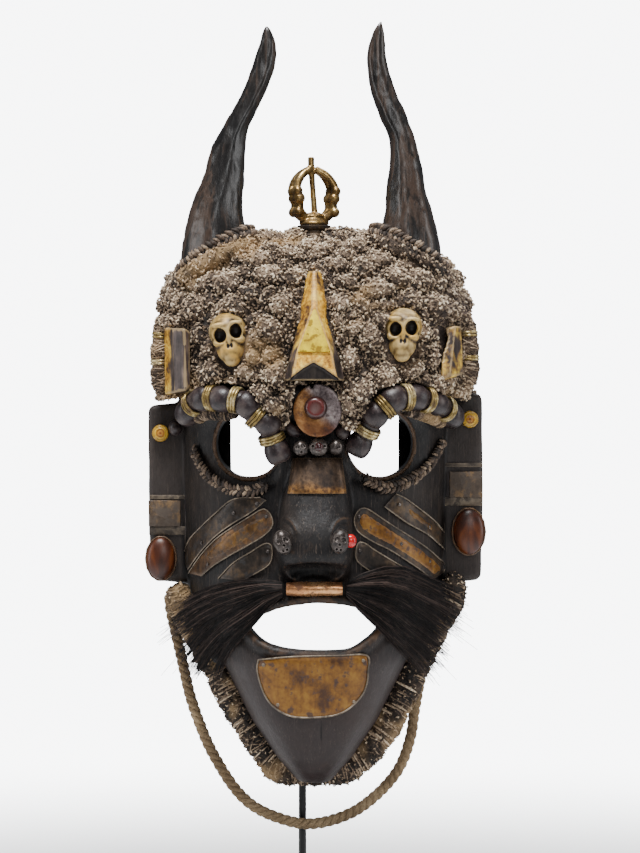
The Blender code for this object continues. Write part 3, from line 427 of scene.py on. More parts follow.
def crust_finish():
    m = Finish("matted_hair", "hair_crust", rough=0.85)
    tint = m.carried("tint")
    tip = m.carried("tip")
    knot = m.carried("knot")
    patch = m.noise(17, 3)
    dust = m.noise(75, 4)
    grit = m.noise(800, 3)
    # Painted light and shade: tip lightens what stands up on a curl or roll, knot darkens the
    # furrows between knots.
    level = (tip * 0.55 + tint * 0.46 + (dust - 0.5) * 0.75 + (grit - 0.5) * 0.70
             + knot * 0.36 - 0.19)
    colour = m.ramp(level, (0.04, (0.010, 0.007, 0.005)), (0.28, (0.070, 0.046, 0.030)),
                    (0.50, (0.290, 0.205, 0.138)), (0.74, (0.600, 0.460, 0.315)),
                    (0.96, (0.900, 0.760, 0.560)))
    colour = m.mix(patch.between(0.55, 0.64) * 0.50, colour, (0.620, 0.410, 0.200))
    colour = m.mix((1 - patch).between(0.58, 0.68) * 0.45, colour, (0.085, 0.062, 0.056))
    return m.look(colour, 0.85, grit + dust * 0.5, 0.0012, 0.9)


def plait_finish():
    """Dark cord, paler on the locks that stand up, with painted shade on the core under them."""
    m = Finish("dark_plait", "hair_crust", rough=0.7)
    grit = m.noise(900, 3)
    level = m.carried("tip") + m.carried("tint") * 0.55 + (grit - 0.5) * 0.8 + 0.08
    colour = m.ramp(level, (0.10, (0.006, 0.004, 0.003)), (0.42, (0.050, 0.032, 0.022)),
                    (0.62, (0.150, 0.100, 0.066)), (0.86, (0.420, 0.310, 0.210)))
    return m.look(colour, 0.7, grit, strength=0.8)


def hair_finish():
    m = Finish("black_hair", "hair", rough=0.48, Specular_IOR_Level=0.22)
    shade = m.carried("tint") * 0.8 + m.noise(300, 2) * 0.3
    return m.set({"Base Color": m.ramp(
        shade, (0.20, (0.0012, 0.0010, 0.0010)), (0.50, (0.007, 0.005, 0.0045)),
        (0.72, (0.050, 0.034, 0.028)), (0.98, (0.120, 0.085, 0.072)))})


def metal_finish(name, slot, low, mid, high, spots, spotted=0.45, rough=0.34, metal=0.85,
                 spread=0.12):
    """Old sheet metal: three tones in clouds, dark spots, and rubbed edges."""
    m = Finish(name, slot, rough=rough, metal=metal)
    cloud = m.noise(70, 4)
    fine = m.noise(420, 4)
    streak = m.streaks((500, 500, 60))
    edge = m.carried("edge")
    colour = m.ramp(cloud * 0.6 + fine * 0.25 + streak * 0.15,
                    (0.50 - spread, low), (0.50, mid), (0.50 + spread, high))
    stain = (m.noise(190, 4) + (m.noise(45, 2) - 0.5) * 0.4).between(0.60 - spotted * 0.12, 0.66)
    colour = m.mix(stain * 0.75, colour, spots)
    colour = m.mix(edge.between(0.35, 0.95) * 0.55, colour,
                   tuple(min(1.0, c * 1.9 + 0.03) for c in mid))
    return m.look(colour, rough + stain * 0.25 + (fine - 0.5) * 0.3,
                  cloud * 0.6 + fine * 0.3 - stain * 0.2, Metallic=metal - stain * 0.45)


def bead_finish():
    m = Finish("brow_bead", "bead", rough=0.33)
    cloud = m.noise(120, 4)
    fine = m.noise(900, 3)
    colour = m.ramp(cloud, (0.34, (0.008, 0.005, 0.006)), (0.50, (0.028, 0.017, 0.018)),
                    (0.66, (0.076, 0.056, 0.050)))
    colour = m.mix(fine.between(0.58, 0.70) * 0.45, colour, (0.120, 0.088, 0.068))
    colour = m.mix(m.noise(260, 3).between(0.56, 0.66) * 0.5, colour, (0.016, 0.009, 0.008))
    return m.look(colour, 0.26 + cloud * 0.30, cloud + fine * 0.5, strength=0.45)


def bone_finish():
    m = Finish("skull_bone", "bone", rough=0.42, metal=0.15)
    worn = m.carried("worn")
    cloud = m.noise(210, 4)
    golden = m.noise(60, 2).between(0.48, 0.62)
    pale_or_gold = m.mix(golden * 0.7, (0.620, 0.440, 0.180), (0.640, 0.360, 0.050))
    # Painted shade: dark in the hollows; pale and gold where the ridges are rubbed.
    level = worn * 0.7 + cloud * 0.5
    colour = m.ramp(level, (0.44, (0.012, 0.008, 0.006)), (0.60, (0.240, 0.150, 0.048)))
    colour = m.mix(level.between(0.58, 0.80), colour, pale_or_gold)
    return m.look(colour, 0.30 + cloud * 0.3, cloud)


def stone_finish(name, slot, dark, mid, bright, scale=110, rough=0.12, coat=0.4):
    """Polished stone, coral or glassy bead with streaks."""
    m = Finish(name, slot, rough=rough, Coat_Weight=coat, Coat_Roughness=0.08)
    wave = m.streaks((scale * 1.7, scale, scale * 0.6), twist=0.8)
    colour = m.ramp(wave, (0.34, dark), (0.50, mid), (0.68, bright))
    return m.set({"Base Color": colour, "Roughness": rough + wave * 0.08})


def ringed_finish(name, slot, *rings):
    """A bead whose colour runs in rings round its middle, kept on the mesh as tip."""
    m = Finish(name, slot, rough=0.25, Coat_Weight=0.2, Coat_Roughness=0.1)
    cloud = m.noise(500, 3)
    colour = m.ramp(m.carried("tip") + (cloud - 0.5) * 0.16, *rings)
    return m.set({"Base Color": colour, "Roughness": 0.2 + cloud * 0.2})


def third_eye_finish():
    m = Finish("third_eye_copper", "copper", rough=0.36, metal=0.5)
    cloud = m.noise(95, 4)
    fine = m.noise(600, 4)
    across = m.axis("X")
    upward = m.axis("Z")
    low, middle = MASK_Z + 0.2265, MASK_Z + 0.2435
    colour = m.ramp(cloud * 0.7 + fine * 0.3, (0.36, (0.070, 0.024, 0.010)),
                    (0.52, (0.330, 0.140, 0.040)), (0.64, (0.620, 0.340, 0.130)))
    grey = m.ramp(cloud * 0.6 + fine * 0.4, (0.38, (0.050, 0.034, 0.034)),
                  (0.52, (0.230, 0.180, 0.178)), (0.64, (0.460, 0.400, 0.370)))
    right = (across * 45 + (upward - middle) * 25 + (cloud - 0.5) * 0.7).between(-0.05, 0.35)
    colour = m.mix(right, colour, grey)
    below = (1 - (upward - low) * 70 + (fine - 0.5)).between(0.1, 0.9)
    colour = m.mix(below * 0.6, colour, (0.110, 0.030, 0.015))
    colour = m.mix(m.noise(240, 3).between(0.58, 0.68) * 0.6, colour, (0.060, 0.034, 0.028))
    return m.look(colour, 0.30 + fine * 0.3, cloud + fine * 0.4)


def nose_plate_finish():
    m = Finish("nose_plate_copper", "copper", rough=0.38, metal=0.55)
    cloud = m.noise(80, 4)
    fine = m.noise(500, 4)
    brushed = m.streaks((500, 500, 40))
    upward = m.axis("Z")
    tone = cloud * 0.5 + fine * 0.25 + brushed * 0.25
    colour = m.ramp(tone, (0.38, (0.018, 0.011, 0.008)), (0.52, (0.060, 0.036, 0.022)),
                    (0.64, (0.140, 0.086, 0.050)))
    warm = (1 - (upward - (MASK_Z + 0.191)) * 110 + (cloud - 0.5) * 1.4).between(0.25, 1.0)
    gold = m.ramp(fine, (0.38, (0.090, 0.036, 0.010)), (0.60, (0.330, 0.155, 0.035)))
    colour = m.mix(warm * 0.85, colour, gold)
    edge = m.carried("edge")
    colour = m.mix(edge.between(0.4, 0.95) * 0.30, colour, (0.240, 0.170, 0.110))
    return m.look(colour, 0.30 + fine * 0.3, tone)


def crest_finish():
    """Old wood gilt over its front, with the gilt gone from its grey sides, painted shade in its
    hollows and rubbed pale edges.
    """
    m = Finish("crest_wood", "copper", rough=0.42, metal=0.25)
    cloud = m.noise(85, 4)
    fine = m.noise(520, 4)
    run = m.streaks((300, 300, 30), 4)
    gilt = m.carried("gilt")
    wood = m.ramp(cloud * 0.5 + run * 0.5, (0.38, (0.020, 0.014, 0.013)),
                  (0.50, (0.070, 0.050, 0.045)), (0.62, (0.180, 0.130, 0.100)))
    gold = m.ramp(fine * 0.5 + cloud * 0.5, (0.38, (0.200, 0.070, 0.006)),
                  (0.50, (0.700, 0.350, 0.025)), (0.62, (1.000, 0.700, 0.110)))
    colour = m.mix((gilt + (cloud - 0.5) * 0.8).between(0.40, 0.62), wood, gold)
    # Painted shade: dark in the hollows and in the recess under the arch.
    colour = m.mix((1 - m.carried("worn")).between(0.62, 0.86), colour, (0.012, 0.009, 0.008))
    colour = m.mix(m.carried("edge").between(0.4, 1.0) * 0.5, colour, (0.560, 0.400, 0.200))
    return m.look(colour, 0.32 + fine * 0.3, cloud * 0.5 + run * 0.5, 0.0008, 0.6)


def rope_finish():
    m = Finish("tan_jute", "rope", rough=0.92)
    fibre = m.noise(1500, 3)
    cloud = m.noise(60, 3)
    colour = m.ramp(fibre * 0.6 + cloud * 0.4, (0.34, (0.110, 0.070, 0.036)),
                    (0.52, (0.290, 0.200, 0.110)), (0.70, (0.520, 0.390, 0.235)))
    return m.look(colour, 0.92, fibre, strength=0.8)


def steel_finish():
    m = Finish("black_steel", "black", rough=0.38, metal=0.3)
    cloud = m.noise(90, 3)
    colour = m.ramp(cloud, (0.3, (0.007, 0.007, 0.008)), (0.7, (0.016, 0.016, 0.017)))
    return m.look(colour, 0.30 + cloud * 0.2, m.noise(900, 2), 0.0002, 0.3)


WOOD = wood_finish()
HORN = horn_finish()
CRUST_HAIR = crust_finish()
PLAIT_HAIR = plait_finish()
HAIR = hair_finish()
GOLD = metal_finish("gold_inlay", "brass", (0.42, 0.24, 0.0), (0.74, 0.52, 0.0),
                    (0.95, 0.72, 0.0), (0.20, 0.09, 0.0), 0.25, 0.60, 0.0)
OCHRE = metal_finish("golden_ochre", "brass", (0.056, 0.021, 0.006), (0.180, 0.074, 0.008),
                     (0.280, 0.135, 0.018), (0.032, 0.018, 0.020), 0.35, 0.40, 0.25)
DULL_OCHRE = metal_finish("dull_ochre", "brass", (0.036, 0.018, 0.008), (0.120, 0.056, 0.012),
                          (0.220, 0.112, 0.022), (0.020, 0.014, 0.012), 0.8, 0.40, 0.3)
OLD_BRASS = metal_finish("vajra_brass", "brass", (0.110, 0.065, 0.025), (0.320, 0.200, 0.070),
                         (0.600, 0.430, 0.180), (0.030, 0.020, 0.012), 0.6, 0.32, 0.85)
COPPER = metal_finish("copper_bar", "copper", (0.260, 0.100, 0.045), (0.560, 0.260, 0.110),
                      (0.860, 0.520, 0.250), (0.110, 0.042, 0.026), 0.35, 0.30, 0.8)
OLD_COPPER = metal_finish("old_copper", "copper", (0.030, 0.018, 0.012), (0.085, 0.046, 0.022),
                          (0.190, 0.092, 0.032), (0.020, 0.014, 0.012), 0.6, 0.38, 0.4)
EAR_BAND = metal_finish("ear_band_metal", "dark_metal", (0.012, 0.009, 0.007),
                        (0.055, 0.036, 0.022), (0.300, 0.165, 0.048), (0.010, 0.008, 0.007), 0.7,
                        0.42, 0.35, 0.07)
EAR_EDGE = metal_finish("ear_edge_metal", "dark_metal", (0.050, 0.038, 0.028),
                        (0.115, 0.088, 0.062), (0.220, 0.172, 0.120), (0.022, 0.016, 0.012), 0.6,
                        0.46, 0.3)
TARNISH = metal_finish("tarnished_sheet", "dark_metal", (0.012, 0.009, 0.007),
                       (0.036, 0.025, 0.018), (0.105, 0.066, 0.034), (0.008, 0.006, 0.006), 0.5,
                       0.42, 0.4)
EDGE_WIRE = metal_finish("edge_wire", "dark_metal", (0.060, 0.046, 0.034), (0.170, 0.132, 0.094),
                         (0.340, 0.275, 0.205), (0.024, 0.018, 0.014), 0.3, 0.42, 0.4)
SILVER = metal_finish("rubbed_silver", "silver", (0.022, 0.017, 0.015), (0.070, 0.056, 0.050),
                      (0.230, 0.200, 0.180), (0.010, 0.008, 0.008), 0.8, 0.28, 0.6)
WIRE_BRASS = metal_finish("ring_wire", "brass", (0.090, 0.058, 0.018), (0.330, 0.230, 0.075),
                          (0.820, 0.700, 0.400), (0.100, 0.055, 0.024), 0.35, 0.32, 0.6)
THIRD_EYE = third_eye_finish()
NOSE_PLATE = nose_plate_finish()
CREST_WOOD = crest_finish()
BEAD = bead_finish()
BONE = bone_finish()
CORAL = stone_finish("dark_coral", "coral", (0.034, 0.008, 0.008), (0.095, 0.016, 0.015),
                     (0.200, 0.050, 0.042), 150, 0.22)
STUD = ringed_finish("coral_stud", "coral", (0.22, (0.105, 0.054, 0.048)),
                     (0.46, (0.080, 0.022, 0.018)), (0.62, (0.110, 0.014, 0.012)),
                     (0.82, (0.040, 0.012, 0.010)), (1.00, (0.016, 0.008, 0.007)))
RED_BEAD = stone_finish("red_bead", "coral", (0.400, 0.006, 0.010), (0.640, 0.010, 0.012),
                        (0.760, 0.030, 0.024), 260)
AMBER = stone_finish("amber_stone", "amber", (0.012, 0.0040, 0.0018), (0.060, 0.0130, 0.0034),
                     (0.210, 0.056, 0.0090), 46, 0.34, 0.0)
YELLOW = ringed_finish("mustard_bead", "yellow", (0.10, (0.300, 0.075, 0.012)),
                       (0.26, (0.640, 0.300, 0.040)), (0.42, (0.330, 0.100, 0.012)),
                       (0.60, (0.720, 0.430, 0.030)), (0.92, (0.420, 0.230, 0.020)))
JUTE = rope_finish()
STEEL = steel_finish()


# Geometry helpers
def stand_in(name, mesh):
    """A working object that never stays in the scene."""
    thing = bpy.data.objects.new(name, mesh)
    bpy.context.scene.collection.objects.link(thing)
    return thing


def baked(thing):
    """The object's mesh with its modifiers applied; the object itself goes."""
    mesh = bpy.data.meshes.new_from_object(
        thing.evaluated_get(bpy.context.evaluated_depsgraph_get()))
    bpy.data.objects.remove(thing, do_unlink=True)
    return mesh


def with_modifiers(mesh, *steps):
    """Apply modifiers, given as (kind, settings), to a mesh."""
    thing = stand_in("work", mesh)
    for kind, settings in steps:
        step = thing.modifiers.new(kind.lower(), kind)
        for key, value in settings.items():
            setattr(step, key, value)
    return baked(thing)


def add_piece(name, mesh, finish, node=None, sharp=None):
    """A finished piece of the mask that rides on the frame."""
    mesh.materials.clear()
    mesh.materials.append(finish.material)
    mesh.shade_smooth()
    if sharp:
        mesh.set_sharp_from_angle(angle=math.radians(sharp))
    mesh.name = name
    thing = bpy.data.objects.new(name, mesh)
    bpy.context.scene.collection.objects.link(thing)
    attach(thing, "root")
    if node:
        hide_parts(node)
    return thing


def mesh_of(bm):
    bmesh.ops.recalc_face_normals(bm, faces=bm.faces)
    mesh = bpy.data.meshes.new("work")
    bm.to_mesh(mesh)
    bm.free()
    return mesh


def from_rings(rings, closed=False):
    """A solid through rings of equally many points; closed joins the last ring to the first."""
    rings = np.asarray(rings, float)
    count, sides = rings.shape[:2]
    bm = bmesh.new()
    rows = [[bm.verts.new(point) for point in ring] for ring in rings]
    for i in range(count if closed else count - 1):
        low, high = rows[i], rows[(i + 1) % count]
        for k in range(sides):
            bm.faces.new((low[k], low[(k + 1) % sides], high[(k + 1) % sides], high[k]))
    if not closed:
        bm.faces.new(rows[0][::-1])
        bm.faces.new(rows[-1])
    return mesh_of(bm)


def joined(meshes):
    """Several meshes as one, each keeping its own closed form."""
    bm = bmesh.new()
    for mesh in meshes:
        bm.from_mesh(mesh)
    whole = bpy.data.meshes.new("work")
    bm.to_mesh(whole)
    bm.free()
    return whole


def carve(mesh, *cutters):
    """Cut closed meshes out of a closed mesh."""
    thing = stand_in("work", mesh)
    tools = [stand_in("cutter", cutter) for cutter in cutters]
    for tool in tools:
        cut = thing.modifiers.new("carve", "BOOLEAN")
        cut.operation, cut.solver, cut.object = "DIFFERENCE", "EXACT", tool
    mesh = baked(thing)
    for tool in tools:
        bpy.data.objects.remove(tool, do_unlink=True)
    return mesh


def blob(centre, size, turn=0.0, across=24, rings=16):
    """A round solid with half sizes (u, f, v), turned in the face plane."""
    bm = bmesh.new()
    bmesh.ops.create_uvsphere(bm, u_segments=across, v_segments=rings, radius=1)
    spin = Matrix.Rotation(-turn, 3, "Y")
    for vert in bm.verts:
        vert.co = spin @ Vector([c * s for c, s in zip(vert.co, size)]) + Vector(centre)
    return mesh_of(bm)


def prism(outline, low, high):
    """An outline in (u, v), in millimetres, run from one depth to another."""
    outline = np.asarray(outline, float) * MM
    return from_rings([place(outline[:, 0], outline[:, 1], f) for f in (low, high)])


def wheel(axis, sides):
    """Directions evenly round an axis."""
    axis = unit(axis)
    side = unit(np.cross(axis, (0.31, 0.87, 0.39)))
    other = np.cross(axis, side)
    turns = np.arange(sides) * 2 * math.pi / sides
    return np.cos(turns)[:, None] * side + np.sin(turns)[:, None] * other


def turned(profile, centre, axis=(0, 0, 1), sides=32):
    """A turned solid: (radius, height) pairs along an axis from a centre."""
    spokes = wheel(axis, sides)
    return from_rings([np.asarray(centre) + unit(axis) * h + spokes * r for r, h in profile])


def cords(lines, radii, sides=6, caps=True):
    """Round cords along lines, all in one mesh, with a radius at each point."""
    curve = bpy.data.curves.new("work", "CURVE")
    curve.dimensions = "3D"
    curve.bevel_depth = 1.0
    curve.bevel_resolution = max(0, sides // 2 - 2)
    curve.use_fill_caps = caps
    for line, radius in zip(lines, radii):
        spline = curve.splines.new("POLY")
        spline.points.add(len(line) - 1)
        knots = np.ones((len(line), 4))
        knots[:, :3] = line
        spline.points.foreach_set("co", knots.ravel())
        spline.points.foreach_set("radius", np.broadcast_to(radius, len(line)).astype(float))
    return baked(stand_in("work", curve))


def verts_of(mesh):
    points = np.empty(len(mesh.vertices) * 3)
    mesh.vertices.foreach_get("co", points)
    return points.reshape(-1, 3)


def normals_of(mesh):
    directions = np.empty(len(mesh.vertices) * 3)
    mesh.vertex_normals.foreach_get("vector", directions)
    return directions.reshape(-1, 3)


def move_verts(mesh, points):
    mesh.vertices.foreach_set("co", np.asarray(points, float).ravel())
    mesh.update()


def store(mesh, **numbers):
    """Keep numbers for each vertex, for the finish to read."""
    for name, values in numbers.items():
        layer = mesh.attributes.get(name) or mesh.attributes.new(name, "FLOAT", "POINT")
        layer.data.foreach_set("value", np.broadcast_to(values, len(mesh.vertices)).astype(float))
    return mesh


def store_wear_and_shade(mesh, gain=1.0, passes=3):
    """Keep how far each place sticks out, for rubbed wear and painted shade: 1 on edges that stick
    out, 0 in hollows.
    """
    points, out = verts_of(mesh), normals_of(mesh)
    ends = np.empty(len(mesh.edges) * 2, int)
    mesh.edges.foreach_get("vertices", ends)
    a, b = ends.reshape(-1, 2).T
    degree = np.maximum(np.bincount(ends, minlength=len(points)), 1)

    def spread(values):
        total = np.zeros_like(values)
        np.add.at(total, a, values[b])
        np.add.at(total, b, values[a])
        return total / (degree[:, None] if values.ndim > 1 else degree)
    length = np.linalg.norm(points[a] - points[b], axis=1).mean()
    level = -((spread(points) - points) * out).sum(1) / length * gain
    for _ in range(passes):
        level = (level + spread(level)) / 2
    return store(mesh, worn=np.clip(0.5 + level * 2.4, 0, 1))


def roughened(mesh, scale, depth, passes=1):
    """Push a mesh in and out along its normals with soft noise."""
    points, out = verts_of(mesh), normals_of(mesh)
    for k in range(passes):
        swell = np.array([noise.noise(Vector(p) * scale * 2 ** k) for p in points])
        points = points + out * (swell * depth / 2 ** k)[:, None]
    move_verts(mesh, points)
    return mesh


def sculpted(meshes, grid, cutters=(), rounds=2):
    """Overlapping closed meshes fused into one skin, with soft edges."""
    mesh = with_modifiers(joined(meshes), ("REMESH", {"mode": "VOXEL", "voxel_size": grid}))
    if cutters:
        mesh = carve(mesh, *cutters)
        mesh = with_modifiers(mesh, ("REMESH", {"mode": "VOXEL", "voxel_size": grid}))
    return with_modifiers(mesh, ("SMOOTH", {"factor": 0.5, "iterations": rounds}))


def solid_of(node):
    """A merged copy of one of the frame's own solids."""
    bm = bmesh.new()
    bm.from_mesh(frame["nodes"][node].data)
    bmesh.ops.remove_doubles(bm, verts=bm.verts, dist=0.00002)
    return bm


def bevel(width, segments, **more):
    return "BEVEL", {"width": width, "segments": segments, "limit_method": "ANGLE", **more}


def softened(node, width, segments=3):
    """The frame's own solid with its edges rounded off."""
    bm = solid_of(node)
    bmesh.ops.dissolve_limit(bm, angle_limit=math.radians(4), verts=bm.verts, edges=bm.edges)
    return with_modifiers(mesh_of(bm), bevel(width, segments, angle_limit=math.radians(25)))


def remade(node, grid, rounds=3):
    """The frame's own solid as a fine even skin."""
    return sculpted([mesh_of(solid_of(node))], grid, rounds=rounds)


# Node recipes for what repeats
class Recipe:
    """A Geometry Nodes tree with named inputs, written as calls."""

    KINDS = {float: "NodeSocketFloat", int: "NodeSocketInt",
             bpy.types.Material: "NodeSocketMaterial", bpy.types.Collection: "NodeSocketCollection"}

    def __init__(self, name, **inputs):
        self.tree = bpy.data.node_groups.new(name, "GeometryNodeTree")
        face = self.tree.interface
        face.new_socket("Geometry", in_out="OUTPUT", socket_type="NodeSocketGeometry")
        face.new_socket("Geometry", in_out="INPUT", socket_type="NodeSocketGeometry")
        for label, kind in inputs.items():
            face.new_socket(label, in_out="INPUT", socket_type=self.KINDS[kind])
        self.given = self.tree.nodes.new("NodeGroupInput").outputs

    def node(self, kind, settings=None, inputs=None, output=0):
        made = self.tree.nodes.new(kind)
        for key, value in (settings or {}).items():
            setattr(made, key, value)
        for key, value in (inputs or {}).items():
            if isinstance(value, bpy.types.NodeSocket):
                self.tree.links.new(value, made.inputs[key])
            else:
                made.inputs[key].default_value = value
        return made.outputs[output]

    def ends_in(self, geometry, finish):
        real = self.node("GeometryNodeRealizeInstances", {}, {"Geometry": geometry})
        dressed = self.node("GeometryNodeSetMaterial", {}, {"Geometry": real, "Material": finish})
        self.tree.links.new(dressed, self.tree.nodes.new("NodeGroupOutput").inputs[0])

    def make(self, mesh, **values):
        """The mesh that the recipe makes on a carrier."""
        carrier = stand_in("carrier", mesh)
        step = carrier.modifiers.new("recipe", "NODES")
        step.node_group = self.tree
        for item in self.tree.interface.items_tree:
            if item.in_out == "INPUT" and item.name in values:
                step[item.identifier] = values[item.name]
        return baked(carrier)


def curl_recipe():
    """Small hooked curls of hair scattered over a surface, lying every way."""
    r = Recipe("scattered_curls", Curls=bpy.types.Collection, Spacing=float, Smallest=float,
               Largest=float, Seed=int, Finish=bpy.types.Material)
    spots = r.tree.nodes.new("GeometryNodeDistributePointsOnFaces")
    spots.distribute_method = "POISSON"
    r.tree.links.new(r.given["Geometry"], spots.inputs["Mesh"])
    r.tree.links.new(r.given["Spacing"], spots.inputs["Distance Min"])
    r.tree.links.new(r.given["Seed"], spots.inputs["Seed"])
    spots.inputs["Density Max"].default_value = 400000
    tilt = r.node("FunctionNodeRandomValue", {"data_type": "FLOAT_VECTOR"},
                  {"Min": (-0.75, -0.75, -math.pi), "Max": (0.75, 0.75, math.pi),
                   "Seed": r.given["Seed"]})
    turn = r.node("FunctionNodeRotateRotation", {"rotation_space": "LOCAL"},
                  {"Rotation": spots.outputs["Rotation"], "Rotate By": tilt})
    size = r.node("FunctionNodeRandomValue", {"data_type": "FLOAT"},
                  {2: r.given["Smallest"], 3: r.given["Largest"], "Seed": r.given["Seed"]}, 1)
    kinds = r.node("GeometryNodeCollectionInfo", {},
                   {"Collection": r.given["Curls"], "Separate Children": True,
                    "Reset Children": True})
    curls = r.node("GeometryNodeInstanceOnPoints", {},
                   {"Points": spots.outputs["Points"], "Instance": kinds, "Pick Instance": True,
                    "Rotation": turn, "Scale": size})
    tint = r.node("FunctionNodeRandomValue", {"data_type": "FLOAT"}, {2: 0.0, 3: 1.0, "Seed": 5}, 1)
    marked = r.node("GeometryNodeStoreNamedAttribute", {"data_type": "FLOAT", "domain": "INSTANCE"},
                    {"Geometry": curls, "Name": "tint", "Value": tint})
    r.ends_in(marked, r.given["Finish"])
    return r


def rivet_recipe():
    """Round rivet heads on points that carry the direction they face."""
    r = Recipe("rivet_heads", Radius=float, Height=float, Finish=bpy.types.Material)
    head = r.node("GeometryNodeMeshUVSphere", {}, {"Segments": 12, "Rings": 8, "Radius": 1.0})
    size = r.node("ShaderNodeCombineXYZ", {}, {"X": r.given["Radius"], "Y": r.given["Radius"],
                                               "Z": r.given["Height"]})
    way = r.node("GeometryNodeInputNamedAttribute", {"data_type": "FLOAT_VECTOR"},
                 {"Name": "faces"})
    turn = r.node("FunctionNodeAlignRotationToVector", {"axis": "Z"}, {"Vector": way})
    heads = r.node("GeometryNodeInstanceOnPoints", {},
                   {"Points": r.given["Geometry"], "Instance": head, "Rotation": turn,
                    "Scale": size})
    r.ends_in(heads, r.given["Finish"])
    return r


CURLS_RECIPE = curl_recipe()
RIVETS_RECIPE = rivet_recipe()
dice = np.random.default_rng(7)


def curl_kinds(count=7):
    """A few hooked curls for the recipe to choose from."""
    group = bpy.data.collections.new("curl_kinds")
    bpy.context.scene.collection.children.link(group)
    for k in range(count):
        turns = np.linspace(0, 0.9 * math.pi + 0.5 * math.pi * dice.random(), CURL_STEPS)
        reach = (1.25 + 0.8 * dice.random()) * (1 - 0.30 * turns / turns[-1])
        line = np.stack([reach * np.cos(turns), reach * np.sin(turns) * 0.85,
                         0.9 * np.sin(turns * 0.9 + dice.random() * 3) + 0.3], axis=1) * MM
        width = 0.85 + 0.30 * dice.random()
        mesh = cords([line], [np.linspace(width, width * 0.70, CURL_STEPS) * MM], 4)
        # Height on the curl, which the finish paints lighter at the top and in shade at the foot.
        height = verts_of(mesh)[:, 2]
        store(mesh, tip=np.clip((height + 0.0009) / 0.0028, 0, 1))
        thing = bpy.data.objects.new(f"curl_{k}", mesh)
        group.objects.link(thing)
    return group


CURLS = curl_kinds()


def curls_over(mesh, seed, spacing=CURL_SPACING, low=0.50, high=0.95):
    return CURLS_RECIPE.make(mesh, Curls=CURLS, Spacing=spacing, Smallest=low, Largest=high,
                             Seed=seed, Finish=CRUST_HAIR.material)


def rivets(name, spots, finish, lift):
    """Rivet heads at (u, v) places in millimetres."""
    spots = np.asarray(spots, float) * MM
    points = on_face(spots[:, 0], spots[:, 1], lift)
    mesh = bpy.data.meshes.new("work")
    mesh.from_pydata([tuple(p) for p in points], [], [])
    ways = mesh.attributes.new("faces", "FLOAT_VECTOR", "POINT")
    ways.data.foreach_set("vector", out_of(spots[:, 0], spots[:, 1]).ravel())
    made = RIVETS_RECIPE.make(mesh, Radius=RIVET_RADIUS, Height=RIVET_HEIGHT,
                              Finish=finish.material)
    return add_piece(name, store(made, edge=0.6), finish)


def wrapped(path, up, size, count, gauge, seed, steep=0.35):
    """Short hairs laid round a roll of the given radii, mostly across it."""
    own = np.random.default_rng(seed)
    _, side, top = frames_along(path, up)
    step = np.linalg.norm(np.diff(path, axis=0), axis=1).mean()
    lines, radii, shades = [], [], []
    for _ in range(count):
        start = own.uniform(0, len(path) - 1)
        turns = own.uniform(0, 2 * math.pi) + np.linspace(0, own.uniform(0.8, 2.6), WRAP_STEPS)
        shift = own.normal(0, steep) * np.linspace(0, 1, WRAP_STEPS) * size.mean() * 2 / step
        k = np.clip(start + shift, 0, len(path) - 1)
        low = np.minimum(k.astype(int), len(path) - 2)
        part = (k - low)[:, None]

        def at(rows):
            return rows[low] * (1 - part) + rows[low + 1] * part
        out = at(side) * np.cos(turns)[:, None] + at(top) * np.sin(turns)[:, None]
        rise = own.uniform(-0.04, 0.03) + 0.02 * np.sin(turns * 3)
        lines.append(at(path) + out * (at(size[:, None]) * (1 + rise[:, None])))
        radii.append(gauge * own.uniform(0.6, 1.3) * np.array([0.5, 0.9, 1, 1, 0.9, 0.5]))
        shades.append(own.random())
    mesh = cords(lines, radii, 4)
    return store(mesh, tint=np.repeat(shades, len(mesh.vertices) // count))


def chevrons(path, up, half, gauge, pitch, seed):
    """A plait: short fat locks laid in chevrons over a core painted dark as the shade between them.
    """
    own = np.random.default_rng(seed)
    _, side, top = frames_along(path, up)
    run = lengths_along(path)
    t = np.linspace(0, 1, 6)
    lines, radii, shades = [], [], []
    for start in np.arange(0, run[-1] - pitch, pitch):
        for way in (-1, 1):
            reach = half * own.uniform(0.80, 1.12)
            at = start + (way > 0) * pitch / 2 + own.normal(0, pitch * 0.10) + pitch * 1.15 * t
            across = way * reach * (1 - 1.15 * t)
            rise = half * own.uniform(0.45, 0.75) * np.sin(math.pi * (0.08 + 0.84 * t))
            spot = [np.stack([np.interp(at, run, rows[:, k]) for k in range(3)], axis=1)
                    for rows in (path, side, top)]
            lines.append(spot[0] + spot[1] * across[:, None] + spot[2] * rise[:, None])
            taper = np.array([0.45, 0.9, 1.1, 1.1, 0.9, 0.5])
            radii.append(gauge * own.uniform(0.85, 1.2) * taper)
            shades.append(own.random())
    locks = cords(lines, radii, 6)
    store(locks, tint=np.repeat(shades, len(locks.vertices) // len(lines)), tip=0.16)
    # The core is painted darkest, as shade in the gaps between the locks.
    core = store(cords([path], [np.full(len(path), half * 0.62)], 8), tip=0.0)
    return store(joined([locks, core]), knot=0.3)


def wires(centre, axis, radius, gauge):
    """A closed wire ring round an axis."""
    around = np.arange(6) * math.pi / 3
    rings = [[np.asarray(centre) + outward * (radius + gauge * math.cos(b))
              + unit(axis) * gauge * math.sin(b) for b in around] for outward in wheel(axis, 28)]
    return from_rings(rings, closed=True)


def shrunk(mesh, depth):
    """A closed mesh drawn in along its normals."""
    move_verts(mesh, verts_of(mesh) - normals_of(mesh) * depth)
    return mesh


# Camera, light and floor
camera = bpy.data.objects.new("camera", bpy.data.cameras.new("camera"))
bpy.context.scene.collection.objects.link(camera)
camera.data.sensor_fit = "VERTICAL"
camera.data.sensor_height = SENSOR
camera.data.lens = SENSOR * CAMERA_AWAY / FRAME_TALL
camera.location = place(5.5 * PHOTO_SCALE, AIM_HEIGHT, AIM_FORWARD + CAMERA_AWAY)
camera.rotation_euler = (math.radians(90), 0, 0)
bpy.context.scene.camera = camera


